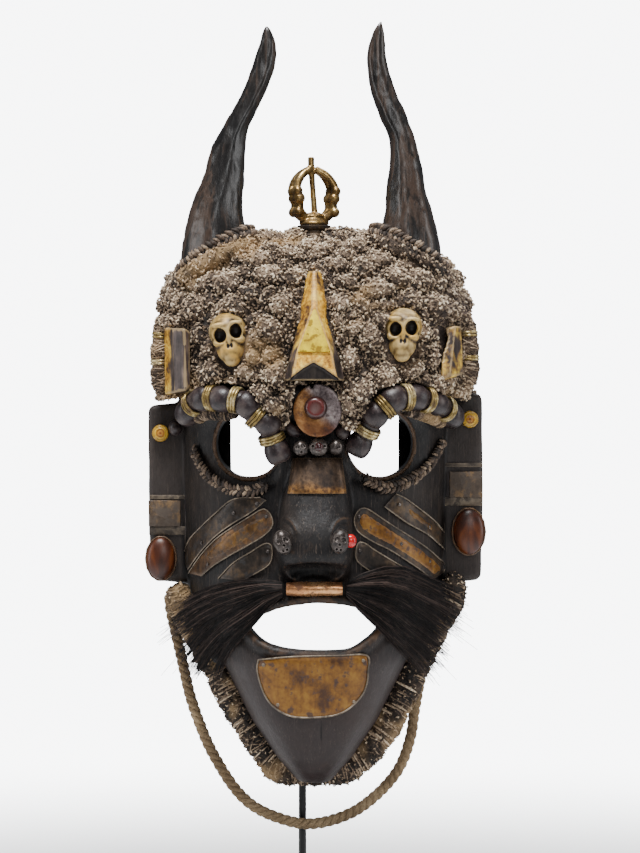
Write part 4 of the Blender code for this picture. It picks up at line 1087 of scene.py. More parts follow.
def soft_light(name, spot, size, power):
    """A soft lamp that shines at the middle of the mask."""
    lamp = bpy.data.objects.new(name, bpy.data.lights.new(name, "AREA"))
    bpy.context.scene.collection.objects.link(lamp)
    lamp.data.shape = "RECTANGLE"
    lamp.data.size, lamp.data.size_y = size
    lamp.data.energy = power
    lamp.location = spot
    middle = Vector((0, 0, 0.36))
    lamp.rotation_euler = (middle - Vector(spot)).to_track_quat("-Z", "Y").to_euler()


soft_light("key", (-0.25, -0.75, 2.25), (0.9, 0.6), 74)
soft_light("front", (0.45, -2.20, 1.10), (0.7, 0.7), 10)
soft_light("left_side", (-1.55, -0.25, 0.55), (0.4, 1.2), 8)
soft_light("right_side", (1.55, -0.25, 0.55), (0.4, 1.2), 8)
soft_light("top_back", (0.25, 0.85, 1.7), (1.2, 0.7), 18)


def studio():
    """A backdrop that looks near white and gives only part of its light to the mask."""
    world = bpy.data.worlds.new("studio")
    bpy.context.scene.world = world
    world.use_nodes = True
    nodes, links = world.node_tree.nodes, world.node_tree.links
    seen = nodes["Background"]
    seen.inputs["Color"].default_value = (0.960, 0.972, 0.985, 1)
    seen.inputs["Strength"].default_value = BACKDROP
    given = nodes.new("ShaderNodeBackground")
    given.inputs["Color"].default_value = (0.90, 0.94, 1.0, 1)
    given.inputs["Strength"].default_value = ROOM_LIGHT
    ray = nodes.new("ShaderNodeLightPath")
    pick = nodes.new("ShaderNodeMixShader")
    links.new(ray.outputs["Is Camera Ray"], pick.inputs[0])
    links.new(given.outputs[0], pick.inputs[1])
    links.new(seen.outputs[0], pick.inputs[2])
    links.new(pick.outputs[0], nodes["World Output"].inputs["Surface"])


def pale_floor():
    """A pale table top that fades into the backdrop."""
    bm = bmesh.new()
    bmesh.ops.create_circle(bm, cap_ends=True, segments=64, radius=1.5)
    floor = stand_in("floor", mesh_of(bm))
    m = Finish("pale_floor", None, rough=0.85)
    away = m.node("ShaderNodeVectorMath", {"operation": "LENGTH"}, {0: m.place}, "Value")
    clear = m.node("ShaderNodeBsdfTransparent")
    m.set({"Base Color": (0.86, 0.87, 0.88)})
    shown = m.node("ShaderNodeMixShader", {}, {
        0: away.between(0.35, 1.35), 1: Wire(m, m.shader.outputs[0]), 2: clear})
    m.tree.links.new(shown.socket, m.tree.nodes["Material Output"].inputs["Surface"])
    floor.data.materials.append(m.material)


studio()
pale_floor()


# Rope
ROPE_LINE = [(-72, 128, 22), (-84, 128, 22), (-92.5, 125, 22.5), (-95.5, 117, 23), (-92, 99, 24),
             (-88, 82, 25), (-80.5, 51, 26.5), (-66.5, 17, 28), (-45.5, -12.5, 29),
             (-19.4, -25.7, 29.5), (3.6, -27.6, 29.5), (29.9, -17.8, 29), (52.9, 3.9, 28),
             (62.8, 26.9, 27), (66.5, 50, 26), (72, 75, 25), (82, 98, 24), (92.5, 112, 23),
             (95, 121, 22.5), (91, 127, 22), (83, 128, 22), (72, 128, 22)]


def hanging_rope():
    path = smooth(place(*(np.array(ROPE_LINE, float) * MM).T), ROPE_STEPS)
    run = lengths_along(path)
    along, side, top = frames_along(path, np.array([0, 1.0, 0]))
    lines = []
    for k in range(3):
        turn = 2 * math.pi * (run / ROPE_TURN + k / 3)
        off = ROPE_RADIUS * 0.55
        lines.append(path + side * (np.cos(turn) * off)[:, None]
                     + top * (np.sin(turn) * off)[:, None])
    strands = cords(lines, [ROPE_RADIUS * 0.57] * 3, 8)
    fuzz = []
    for _ in range(ROPE_FUZZ):
        k = int(dice.integers(6, ROPE_STEPS - 6))
        angle, slope = dice.random() * 2 * math.pi, dice.uniform(-1, 1)
        outward = side[k] * math.cos(angle) + top[k] * math.sin(angle)
        start = path[k] + outward * ROPE_RADIUS * 0.85
        end = start + outward * 0.0016 * dice.random() + along[k] * slope * 0.004
        fuzz.append([start, (start + end) / 2 + outward * 0.0004, end])
    loose = cords(fuzz, [[0.00010, 0.00009, 0.00005]] * len(fuzz), 4)
    piece = add_piece("jute_rope", joined([strands, loose]), JUTE, "rope")


hanging_rope()


# Carved face
def carved_face():
    heights = np.concatenate([np.linspace(5, 270, 84) * MM, CROWN_LOW + (CROWN_TOP - CROWN_LOW)
                              * np.sin(np.linspace(0, 0.494, 20)[1:] * math.pi)])
    a = np.sin(np.linspace(-0.5, 0.5, 81) * math.pi)
    rings = []
    for v in heights:
        u = section(v)[0] * a
        f = front(u, np.full_like(u, v))
        f[[0, -1]] = 0.0
        rings.append(place(u, v, f))
    shell = from_rings(rings)

    hollow = []
    for v in np.concatenate([np.linspace(50, 90, 9), np.linspace(95, 300, 24),
                             np.linspace(303, 325, 7)]) * MM:
        span = np.interp(v, (HOLLOW_LOW, 0.070, 0.090, 0.120, 0.160, 0.250, 0.300, HOLLOW_TOP),
                         (0.50, 0.74, 0.88, 0.98, 1.0, 1.0, 0.90, 0.55))
        deep = section(v)[1] - WALL
        deep *= np.interp(v, (HOLLOW_LOW, 0.070, 0.300, HOLLOW_TOP), (0.55, 1.0, 1.0, 0.75))
        b = np.sin(np.linspace(-0.5, 0.5, 31) * math.pi)
        f = deep * np.clip(1 - np.abs(b) ** 2.4, 0, 1) ** (1 / 2.4)
        f[[0, -1]] = -0.010
        hollow.append(place(HOLLOW_HALF * span * b, v, f))
    holes = [from_rings(hollow), prism(smooth(MOUTH + MOUTH[:1], 60)[:-1], 0.045, 0.200)]
    for side in (-1, 1):
        holes.append(prism(oval(side * EYE_ACROSS / MM, EYE_HEIGHT / MM, EYE_HALF / MM,
                                EYE_TALL / MM, 48, 2.1), 0.035, 0.200))
        holes.append(cords([place(np.array([0.068, 0.100]) * side, ROPE_LEVEL, ROPE_FORWARD)],
                           [ROPE_RADIUS + 0.0006], 12))
    shell = carve(shell, *holes)

    ring = np.linspace(0, math.pi, 41)
    nose = []
    for v, middle, half, reach in smooth(NOSE_ROWS, 46):
        u = middle * MM + half * MM * np.sign(np.cos(ring)) * np.abs(np.cos(ring)) ** 0.62
        back = front(0.0, v * MM) - 0.014
        nose.append(place(u, v * MM, back + (reach * MM + 0.014) * np.sin(ring) ** 0.62))
    ears = []
    for outline in ([(-80, 130), (-107, 133), (-108.5, 172), (-109, 247), (-80, 250)],
                    [(80, 130), (109, 133), (110.3, 185), (109.6, 255), (80, 257)]):
        ears.append(with_modifiers(prism(outline, EAR_BACK, EAR_FRONT), bevel(0.004, 4)))
    under = [blob(place(0.0006, 0.1412, front(0, 0.1412) + 0.0150), (0.0200, 0.0150, 0.0088)),
             blob(place(0.0006, 0.1360, front(0, 0.1360) + 0.0080), (0.0130, 0.0100, 0.0060))]
    mesh = sculpted([shell, from_rings(nose)] + ears, WOOD_GRID, under, 3)
    chiselled(mesh)
    mesh = with_modifiers(mesh, ("DECIMATE", {"ratio": min(1.0, WOOD_FACES / len(mesh.polygons))}))
    add_piece("carved_wood", store_wear_and_shade(mesh, 1.6, 2), WOOD, "mask_face")


def chiselled(mesh):
    """Lids, lips, nostrils and tool marks on the front of the wood."""
    points, out = verts_of(mesh), normals_of(mesh)
    u, v, f = points[:, 0], points[:, 2] - MASK_Z, BACK_Y - points[:, 1]
    ahead = ease(-out[:, 1], 0.15, 0.6) * ease(f - front(u, v), -0.012, -0.006)
    rise = np.zeros(len(points))
    away = np.hypot((np.abs(u) - EYE_ACROSS) / EYE_HALF, (v - EYE_HEIGHT) / EYE_TALL)
    rise += 0.0008 * np.exp(-((away - 1.10) / 0.07) ** 2)
    dish = (1 - ease(away, 1.02, 1.66)) * ease(np.abs(u), 0.0190, 0.0270)
    rise -= 0.0034 * dish
    half = np.maximum(section(v)[0], 0.001)
    jaw = ease(v, 0.010, 0.030) * (1 - ease(v, 0.100, 0.125))
    rise += 0.0011 * jaw * np.exp(-((np.abs(u) / half - 0.84) / 0.035) ** 2)
    rise -= 0.0014 * jaw * np.exp(-((np.abs(u) / half - 0.93) / 0.045) ** 2)
    crack = np.exp(-((u - 0.0045 - (v - 0.040) * 0.05) / 0.0007) ** 2)
    rise -= 0.0009 * crack * ease(v, 0.030, 0.036) * (1 - ease(v, 0.046, 0.050))
    lip = distance_to(np.array(MOUTH) * MM, u, v)
    rise += 0.0016 * np.exp(-((lip - 0.0035) / 0.0026) ** 2) * (v < 0.130)
    rise -= 0.0011 * np.exp(-((lip - 0.0090) / 0.0022) ** 2) * (v < 0.104)
    alar = np.hypot((np.abs(u) - 0.0190) / 0.0085, (v - 0.1620) / 0.0135)
    raised = (f > front(u, v) + 0.004) * ease(v, 0.163, 0.169)
    rise += 0.0009 * np.exp(-((alar - 1.0) / 0.09) ** 2) * raised
    rise -= 0.0008 * np.exp(-((alar - 0.80) / 0.09) ** 2) * raised
    frown = np.exp(-((v - 0.2175) / 0.0016) ** 2) + np.exp(-((v - 0.2075) / 0.0013) ** 2)
    rise -= 0.0006 * frown * (np.abs(u) < 0.017)
    marks = np.array([noise.noise(Vector(p) * 60) + 0.5 * noise.noise(Vector(p) * 170)
                      for p in points])
    move_verts(mesh, points + out * ((rise * ahead) + marks * 0.00022)[:, None])


carved_face()


# Matted hair over the crown
def hair_low(u):
    """How far down the hair comes at a place across."""
    return np.interp(np.abs(u), (0.0, 0.012, 0.019, 0.028, 0.037, 0.050, 0.066, 0.085, 0.105),
                     (0.261, 0.259, 0.231, 0.231, 0.254, 0.261, 0.261, 0.252, 0.251))


def knots(point):
    """Rounded knots: 1 in the middle of a knot, 0 in the furrow between knots."""
    near = noise.voronoi(Vector(point) / KNOT_SIZE)[0]
    return max(0.0, 1 - (near[0] / max(near[1], 0.001)) ** 2)


# Height, half width and depth of the crest's front
CREST_SIDE = np.array([(262.2, 19.0, 141.0), (280.0, 15.6, 136.2), (308.0, 9.4, 128.6),
                       (327.0, 5.4, 120.4), (331.8, 3.6, 118.0)])
CREST_OUTLINE = np.array([(-u, v) for v, u, _ in CREST_SIDE]
                         + [(u, v) for v, u, _ in CREST_SIDE[::-1]])
# Outline, how deep it presses the hair in, and how far the dent runs out
ORNAMENTS = [
    (CREST_OUTLINE * MM, 0.0040, 0.0015),
    (oval(0.002, 0.2435, 0.0154, 0.0170), 0.0040, 0.0030),
    (oval(-0.0538, 0.2860, 0.0120, 0.0175), 0.0030, 0.0030),
    (oval(0.0560, 0.2890, 0.0120, 0.0175), 0.0030, 0.0030),
    (np.array([(-97, 254), (-97, 297), (-79, 297), (-79, 254)]) * MM, 0.0035, 0.0030),
    (np.array([(80, 266), (80, 298), (96, 298), (96, 266)]) * MM, 0.0035, 0.0030)]


def pressed(points):
    """How far the hair is pressed in by the ornaments that sit in it."""
    u, v, f = points[..., 0], points[..., 2] - MASK_Z, BACK_Y - points[..., 1]
    press = np.zeros_like(u)
    for outline, depth, run_out in ORNAMENTS:
        press = np.maximum(press, depth * (1 - ease(beyond(outline, u, v), 0.0005, run_out)))
    return press * ease(f, 0.050, 0.062)


def crust_grid(grow, lumps, columns=210, rows=92):
    """Rows of points of the hair's skin, from the brow to the crown."""
    turn = (np.arange(columns + 1) / columns - 0.5) * math.pi
    a = np.sign(np.sin(turn)) * np.abs(np.sin(turn)) ** 0.92
    low = hair_low((TEMPLE_HALF + CRUST) * a)
    grid = []
    for share in np.sin(np.linspace(0, 0.488, rows) * math.pi):
        v = low + (CROWN_TOP + grow - low) * share
        half, depth, square = section(v, grow)
        u = half * a
        edge = np.clip(1 - np.abs(a) ** square, 0, 1)
        f = depth * edge ** (1 / square) + np.where(v < CROWN_LOW, relief(u, v), 0) * np.sqrt(edge)
        f[[0, -1]] = 0.0015
        points = place(u, v, f)
        out = points - place(np.zeros_like(u), np.minimum(v, 0.300), 0.040)
        out = unit(out)
        if lumps:
            swell = np.array([LUMP * (2.1 * knots(p) ** 0.75 - 1.1)
                              + 0.0007 * noise.noise(Vector(p) * 420) for p in points])
            press = pressed(points)
            swell = swell * (1 - np.clip(press / 0.003, 0, 1)) - press
            out[[0, -1], 1] = 0
            points = points + out * swell[:, None]
        grid.append(points)
    return np.array(grid)


def faces_of_grid(rows, columns, start=0, flip=False):
    i, k = np.meshgrid(np.arange(rows - 1), np.arange(columns - 1), indexing="ij")
    a = start + i * columns + k
    quads = np.stack([a, a + 1, a + columns + 1, a + columns], axis=-1).reshape(-1, 4)
    return quads[:, ::-1] if flip else quads


def crust():
    outer = crust_grid(CRUST, True)
    inner = crust_grid(-0.004, False)
    inner[0, :, 2] += 0.003
    rows, columns = outer.shape[:2]
    count = rows * columns
    quads = [faces_of_grid(rows, columns), faces_of_grid(rows, columns, count, True)]
    rim = ([r * columns for r in range(rows)]
           + [(rows - 1) * columns + k for k in range(1, columns)]
           + [r * columns + columns - 1 for r in range(rows - 2, -1, -1)]
           + list(range(columns - 2, 0, -1)))
    walls = [(a, b, b + count, a + count) for a, b in zip(rim, rim[1:] + rim[:1])]
    bm = bmesh.new()
    spots = [bm.verts.new(p) for p in np.concatenate([outer, inner]).reshape(-1, 3)]
    for quad in np.vstack(quads + [np.array(walls)]):
        bm.faces.new([spots[k] for k in quad])
    mesh = mesh_of(bm)
    # Knot heights kept for the finish, which paints shade into the furrows between knots.
    height = np.array([knots(p) for p in outer.reshape(-1, 3)])
    store(mesh, tip=0.26, tint=0.3, knot=np.concatenate([height, np.zeros(count)]))
    add_piece("hair_bed", mesh, CRUST_HAIR, "hair_cap")
    skin_only = bpy.data.meshes.new("work")
    points = outer.reshape(-1, 3)
    quads = faces_of_grid(rows, columns)
    middles = points[quads].mean(axis=1)
    u, v, f = middles[:, 0], middles[:, 2] - MASK_Z, BACK_Y - middles[:, 1]
    clear = np.min([beyond(outline, u, v) for outline, *_ in ORNAMENTS], axis=0)
    quads = quads[(clear > 0.0004) | (f < 0.056)]
    skin_only.from_pydata([tuple(p) for p in points], [], [tuple(int(k) for k in q) for q in quads])
    # Knot heights kept on the skin under the curls as well, for the same painted shade.
    store(skin_only, knot=height)
    for name, side in (("hair_curls_left", -1), ("hair_curls_right", 1)):
        bm = bmesh.new()
        bm.from_mesh(skin_only)
        away = [face for face in bm.faces if face.calc_center_median().x * side < 0]
        bmesh.ops.delete(bm, geom=away, context="FACES")
        bmesh.ops.recalc_face_normals(bm, faces=bm.faces)
        middle = bm.faces[:][len(bm.faces) // 2]
        if middle.normal.dot(middle.calc_center_median() - Vector((0, 0.02, 0.36))) < 0:
            bmesh.ops.reverse_faces(bm, faces=bm.faces)
        half = bpy.data.meshes.new("work")
        bm.to_mesh(half)
        bm.free()
        add_piece(name, curls_over(half, 3 + side), CRUST_HAIR)


crust()


# Beard roll
ROLL_LINE = [(-90.5, 129, 50), (-88, 120, 48), (-77, 100, 50), (-63, 76, 56),
             (-52.5, 54.5, 60), (-42, 39, 63), (-31, 22, 66), (-22, 12, 68), (-8, 11, 69),
             (9, 11.3, 69), (21, 12.8, 68),
             (31.5, 20.5, 66), (41, 31.5, 64), (48, 41, 62), (59.5, 64, 57), (66.5, 80, 54),
             (77, 100, 50), (88.5, 120, 48), (92.5, 135, 50)]


def beard():
    path = smooth(place(*(np.array(ROLL_LINE, float) * MM).T), 260)
    run = np.linspace(0, 1, len(path))
    knot = np.abs(np.sin(run * math.pi * 15.5)) ** 0.6
    size = ROLL_RADIUS * (0.84 + 0.13 * knot)
    size *= np.clip(np.minimum(run, 1 - run) * 30, 0, 1) * 0.38 + 0.62
    core = roughened(cords([path], [size * 0.98], 24), 240, 0.0022, 3)
    # Painted shade and light: the core is kept darkest under the hairs, and the raised ties are
    # painted lightest.
    store(core, tip=0.16, knot=0.3, tint=0.2)
    add_piece("beard_core", core, CRUST_HAIR, "beard_roll")
    hairs = wrapped(path, AHEAD, size * 1.02, 620, 0.00040, 31, 0.30)
    add_piece("beard_hairs", store(hairs, tip=0.30, knot=0.5), CRUST_HAIR)
    bands = [k for k in range(9, len(path) - 8) if knot[k] < 0.22]
    ties = wrapped(path[bands], AHEAD, size[bands] * 1.13, 330, 0.00070, 32, 0.0)
    add_piece("beard_ties", store(ties, tip=0.66, knot=0.5), CRUST_HAIR)
    add_piece("beard_curls", curls_over(core.copy(), 11, 0.0033, 0.38, 0.66), CRUST_HAIR)


beard()


# Horns and the plaits round their feet
HORN_LEFT = [(310, -88, -40, 58, 21), (341, -87, -41, 58, 21), (358, -85, -44, 57, 19.5),
             (375, -81, -47, 56, 17), (395, -72.8, -45.6, 55, 14), (414, -67, -44.7, 54, 12),
             (428, -60, -42.8, 53, 10.5), (445, -50.5, -34.7, 53, 9), (462, -42.5, -27.7, 54, 7.5),
             (474, -38.7, -25.2, 55, 6), (485, -35.3, -26, 56, 4.5), (491, -33, -28.7, 57, 2.2),
             (493.4, -31.8, -30.6, 57, 0.7)]
HORN_RIGHT = [(310, 40, 84, 58, 21), (338, 40.5, 82.5, 58, 21), (356, 42, 80.5, 57, 19.5),
              (372, 45.7, 77, 56, 17), (386, 46.6, 72.8, 55, 15), (403, 48.8, 70, 54, 13),
              (420, 48.6, 65.6, 53, 11), (434, 43, 60.8, 53, 10), (451, 36.8, 53.2, 53, 8.5),
              (468, 33.9, 47.6, 54, 7), (479, 34.7, 46.2, 55, 5.5), (489, 37.6, 45.2, 56, 3.8),
              (495, 41, 44.2, 57, 1.6), (496.8, 42.6, 43.8, 57, 0.6)]


def horn(name, node, rows, side):
    """A horn whose ridge turns slowly from its front towards its outer edge."""
    rings = []
    turns = np.arange(48) * 2 * math.pi / 48
    for v, left, right, middle, thick in smooth(rows, 120):
        up = (v - rows[0][0]) / (rows[-1][0] - rows[0][0])
        ridge = math.radians(95 + 55 * side * (up - 0.25))
        gap = np.abs((turns - ridge + math.pi) % (2 * math.pi) - math.pi)
        swell = 1 + 0.05 * np.exp(-(gap / 0.22) ** 2) - 0.05 * np.exp(-((gap - 0.55) / 0.30) ** 2)
        swell += 0.012 * np.sin(turns * 3 + up * 9)
        u = (left + right) / 2 + (right - left) / 2 * np.cos(turns) * np.minimum(swell, 1.02)
        f = middle + thick * np.sin(turns) * swell
        rings.append(place(u * MM, v * MM, f * MM))
    mesh = roughened(from_rings(rings), 130, 0.0005, 2)
    add_piece(name, store_wear_and_shade(mesh), HORN, node)


horn("left_horn", "horn_left", HORN_LEFT, -1)
horn("right_horn", "horn_right", HORN_RIGHT, 1)


def horn_plait(name, node, middle, arm, depth):
    t = np.linspace(0, 2 * math.pi, 150)
    u = middle[0] + arm[0] * np.cos(t)
    v = middle[1] + arm[1] * np.cos(t) + 3.0 * np.sin(t)
    path = place(u * MM, v * MM, (middle[2] + depth * np.sin(t)) * MM)
    outward = unit(path - path.mean(axis=0))
    mesh = chevrons(path, outward, BRAID_RADIUS * 1.25, 0.00118, 0.0027, 21)
    add_piece(name, mesh, PLAIT_HAIR, node)
    foot = path - np.array([0, 0, 0.0075])
    under = roughened(cords([foot], [np.full(len(foot), 0.0062)], 14), 240, 0.0016, 1)
    store(under, tip=0.16, knot=0.3, tint=0.4)
    add_piece(f"{name}_curls", curls_over(under.copy(), 27, 0.0026), CRUST_HAIR, node)
    add_piece(f"{name}_bed", under, CRUST_HAIR, node)


horn_plait("left_horn_plait", "horn_braid_left", (-64.0, 346.5, 57), (-22.5, -13), 26)
horn_plait("right_horn_plait", "horn_braid_right", (61.0, 348.0, 57), (22.5, -12.5), 26)


# Vajra and its collar
VAJRA_TOP = place(-0.0003, 0.0, 0.040)
collar = turned([(0.0102, 0.3400), (0.0112, 0.3406), (0.0112, 0.3545), (0.0104, 0.3552),
                 (0.0104, 0.3562), (0.0112, 0.3568), (0.0112, 0.3582), (0.0098, 0.3596),
                 (0.0098, 0.3614), (0.0106, 0.3622), (0.0110, 0.3628), (0.0110, 0.3645),
                 (0.0104, 0.3650)], VAJRA_TOP, sides=48)
add_piece("vajra_foot", store(collar, edge=0.2), TARNISH, "vajra_collar", 40)


def vajra():
    parts = [turned([(0.0093, 0.3653), (0.0097, 0.3660), (0.0097, 0.3668), (0.0080, 0.3685),
                     (0.0062, 0.3700), (0.0070, 0.3712), (0.0040, 0.3735)], VAJRA_TOP, sides=32)]
    spoke = [VAJRA_TOP + np.array([x * MM, 0, z * MM]) for x, z in
             ((0.6, 370), (-0.8, 388), (-1.8, 402), (-2.0, 410))]
    parts.append(cords([smooth(spoke, 16)], [np.interp(np.linspace(0, 1, 16), (0, .5, .8, 1),
                                                       (2.2, 1.9, 2.2, 2.2)) * MM], 10))
    arcs = [(4, 369.5, 2.8), (9, 371.0, 3.4), (12.4, 375.5, 3.0), (12.6, 380.0, 3.0),
            (14.4, 387.0, 2.8), (12.8, 393.0, 2.8), (8.4, 398.4, 2.7), (2.0, 402.0, 2.6)]
    for turn, share in ((180, 1.0), (0, 1.0), (28, 0.86), (208, 0.86)):
        way = np.array([math.cos(math.radians(turn)), math.sin(math.radians(turn)), 0])
        rows = smooth(np.array(arcs) * (share, 1, 1), 26)
        line = (VAJRA_TOP + way * rows[:, :1] * MM
                + np.array([-1.0 * MM, 0, 0]) * ease(rows[:, 1:2], 380, 402)
                + np.array([0, 0, 1]) * rows[:, 1:2] * MM)
        parts.append(cords([line], [rows[:, 2] * MM * 0.92], 10))
        side = np.array([-way[1], way[0], 0])
        for reach, height, size in ((13.6, 373.6, 3.3), (13.2, 382.6, 3.8), (14.4, 387.4, 3.2)):
            for lean in (-1, 1):
                spot = (VAJRA_TOP + way * reach * share * MM + side * lean * 1.0 * MM
                        + np.array([0, 0, height * MM]))
                parts.append(blob(spot, (size * MM,) * 3, across=12, rings=8))
    mesh = sculpted(parts, 0.00062, rounds=1)
    add_piece("vajra_prongs", store(mesh, edge=0.3), OLD_BRASS, "vajra")


vajra()


# Crest, temple wedges and temple rolls
def edged(mesh):
    """Keep where edges stick out as the number that metal finishes read."""
    store_wear_and_shade(mesh, 2.2, 0)
    layer = np.empty(len(mesh.vertices))
    mesh.attributes["worn"].data.foreach_get("value", layer)
    return store(mesh, edge=np.clip((layer - 0.55) * 3, 0, 1))


crest = edged(remade("crest_wedge", 0.0009, 1))
crest_at = verts_of(crest)
upward = crest_at[:, 2] - MASK_Z
ahead = -normals_of(crest)[:, 1]
deep = np.interp(upward, CREST_SIDE[:, 0] * MM, CREST_SIDE[:, 2] * MM)
sunk = deep - (BACK_Y - crest_at[:, 1])
in_arch = (upward < 0.2745) & (np.abs(crest_at[:, 0]) < 0.0163)
gilt = 0.43 + 0.48 * ease(ahead, 0.55, 0.90) + 0.22 * ease(upward, 0.278, 0.300)
# Painted shade in the recess under the arch: the gilt is taken off there and the finish paints it
# dark.
gilt *= 1 - ease(sunk, 0.0018, 0.0040) * in_arch
store(crest, worn=np.where((sunk > 0.002) & in_arch, 0.22, 0.5), gilt=gilt * 0.9)
add_piece("crest", crest, CREST_WOOD, "crest_wedge")
inlay = store(softened("crest_inlay", 0.0003, 2), edge=0.1)
add_piece("crest_gold", inlay, GOLD, "crest_inlay", 40)
for side in ("left", "right"):
    wedge = edged(remade(f"temple_wedge_{side}", 0.0011, 1))
    across = verts_of(wedge)[:, 0]
    share = (across.mean() - across) / np.ptp(across)
    gilt = 0.22 + 0.42 * ease(share, -0.02, 0.22) if side == "left" else 0.44
    store(wedge, gilt=gilt, worn=0.5)
    add_piece(f"{side}_temple_wedge", wedge, CREST_WOOD, f"temple_wedge_{side}")


def temple_roll(name, node, side, rows):
    rows = np.array(rows, float)
    path = smooth(place(side * rows[:, 0] * MM, rows[:, 1] * MM, rows[:, 2] * MM), 60)
    size = np.interp(np.linspace(0, 1, 60), np.linspace(0, 1, len(rows)), rows[:, 3]) * MM
    core = roughened(cords([path], [size * 0.92], 20), 300, 0.0008, 2)
    hairs = wrapped(path, AHEAD, size * 0.97, 300, 0.00045, 50 + side)
    roll = store(joined([store(core, tint=0.2), hairs]), tip=0.40, knot=0.5)
    add_piece(name, roll, CRUST_HAIR, node)
    bands = [wires(path[k], path[k + 1] - path[k - 1], size[k] * 1.0, 0.0009)
             for k in (14, 16, 33, 35)]
    add_piece(name + "_bands", store(joined(bands), edge=0.3), WIRE_BRASS)


temple_roll("left_temple_roll", "temple_roll_left", -1, [
    (96, 305, 52, 4.5), (98.5, 299, 53, 6.4), (99.4, 293, 54, 5.6), (100, 285, 54, 7.3),
    (100.3, 277.5, 54, 5.9), (100, 269, 54, 7.2), (99, 260, 54, 7.0), (97, 253, 53, 4.6)])
temple_roll("right_temple_roll", "temple_roll_right", 1, [
    (97, 305, 52, 4.5), (99, 299, 53, 6.2), (100, 294, 54, 5.5), (100.4, 285, 54, 7.0),
    (100.8, 276, 54, 5.7), (100.5, 268, 54, 7.0), (99, 261.5, 54, 6.4), (98, 258, 53, 4.4)])


# Skulls in the hair
def skull(name, node, u, v, f, turn):
    centre = place(u * MM, v * MM, f * MM)
    c, s = math.cos(turn), math.sin(turn)

    def spot(x, y, z):
        return centre + np.array([(x * c - z * s) * MM, -y * MM, (x * s + z * c) * MM])

    def lump(x, y, z, rx, ry, rz):
        return blob(spot(x, y, z), (rx * MM, ry * MM, rz * MM), turn)
    head = [lump(0, 0, 6.3, 12.2, 13.0, 11.8), lump(0, 3.2, -5.0, 8.8, 9.0, 9.4)]
    head += [lump(0, 6.4, -8.6, 5.8, 5.4, 6.0), lump(0, 5.6, -11.6, 5.4, 5.0, 5.0)]
    head += [lump(x, 6.0, -0.2, 4.6, 4.8, 3.2) for x in (-5.8, 5.8)]
    head += [lump(x, 10.4, 10.6, 4.9, 2.6, 1.8) for x in (-5.2, 5.2)]
    head += [lump(0, 11.4, 2.4, 1.5, 1.8, 3.6)]
    holes = [lump(x, 12.0, 4.6 + x * 0.12, 4.5, 7.4, 4.9) for x in (-5.5, 5.5)]
    holes += [lump(x, 12.8, -3.2, 1.2, 3.0, 2.2) for x in (-1.1, 1.1)]
    holes += [lump(x, 11.2 - abs(x) * 0.4, -13.4, 0.36, 1.6, 2.6) for x in np.arange(-4, 5, 2.0)]
    holes += [lump(0, 12.4, -12.4, 6.0, 1.6, 0.34)]
    mesh = sculpted(head, 0.00068, holes, 3)
    add_piece(name, store_wear_and_shade(mesh, 2.2, 3), BONE, node)


skull("left_skull", "skull_left", -53.8, 287.5, 114, math.radians(9))
skull("right_skull", "skull_right", 56.0, 290.5, 113, math.radians(-3))


# Third eye
DISC_FRONT = front(0.002, 0.2435) + 0.0120
STUD_U, STUD_V, STUD_RADIUS = 0.0009, 0.2451, 0.0074
add_piece("third_eye", edged(remade("third_eye_disc", 0.0008, 2)), THIRD_EYE, "third_eye_disc")
stud = turned([(5.6, 0.3), (5.8, 0.6), (5.8, 1.6), (6.9, 2.0), (7.3, 2.7), (7.4, 4.2), (7.1, 5.2),
               (6.4, 6.6), (5.6, 7.7), (4.7, 8.1), (3.8, 8.0), (0.4, 7.7)], (0, 0, 0))
stud.transform(Matrix.Translation(place(STUD_U, STUD_V, DISC_FRONT))
               @ Matrix.Rotation(math.radians(90), 4, "X") @ Matrix.Scale(MM, 4))
reach = np.hypot(verts_of(stud)[:, 0] - STUD_U, verts_of(stud)[:, 2] - MASK_Z - STUD_V)
add_piece("third_eye_coral", store(stud, tip=reach / STUD_RADIUS), STUD, "third_eye_stud", 50)


# Brow beads
BROW_LEFT = [(-80.9, 242.4), (-76.7, 248.2), (-70.2, 251.2), (-64.2, 251.6), (-58.2, 250.8),
             (-49.5, 250.2), (-42.1, 246.9), (-36.7, 239.9), (-29.8, 235.7), (-27.0, 226.4),
             (-23.3, 217.2)]
BROW_RIGHT = [(88.0, 240.6), (83.1, 245.0), (77.1, 248.4), (70.6, 250.4), (64.0, 251.8),
              (58.0, 251.8), (50.4, 250.6), (44.6, 245.6), (38.6, 240.6), (33.6, 231.5),
              (28.2, 221.6)]


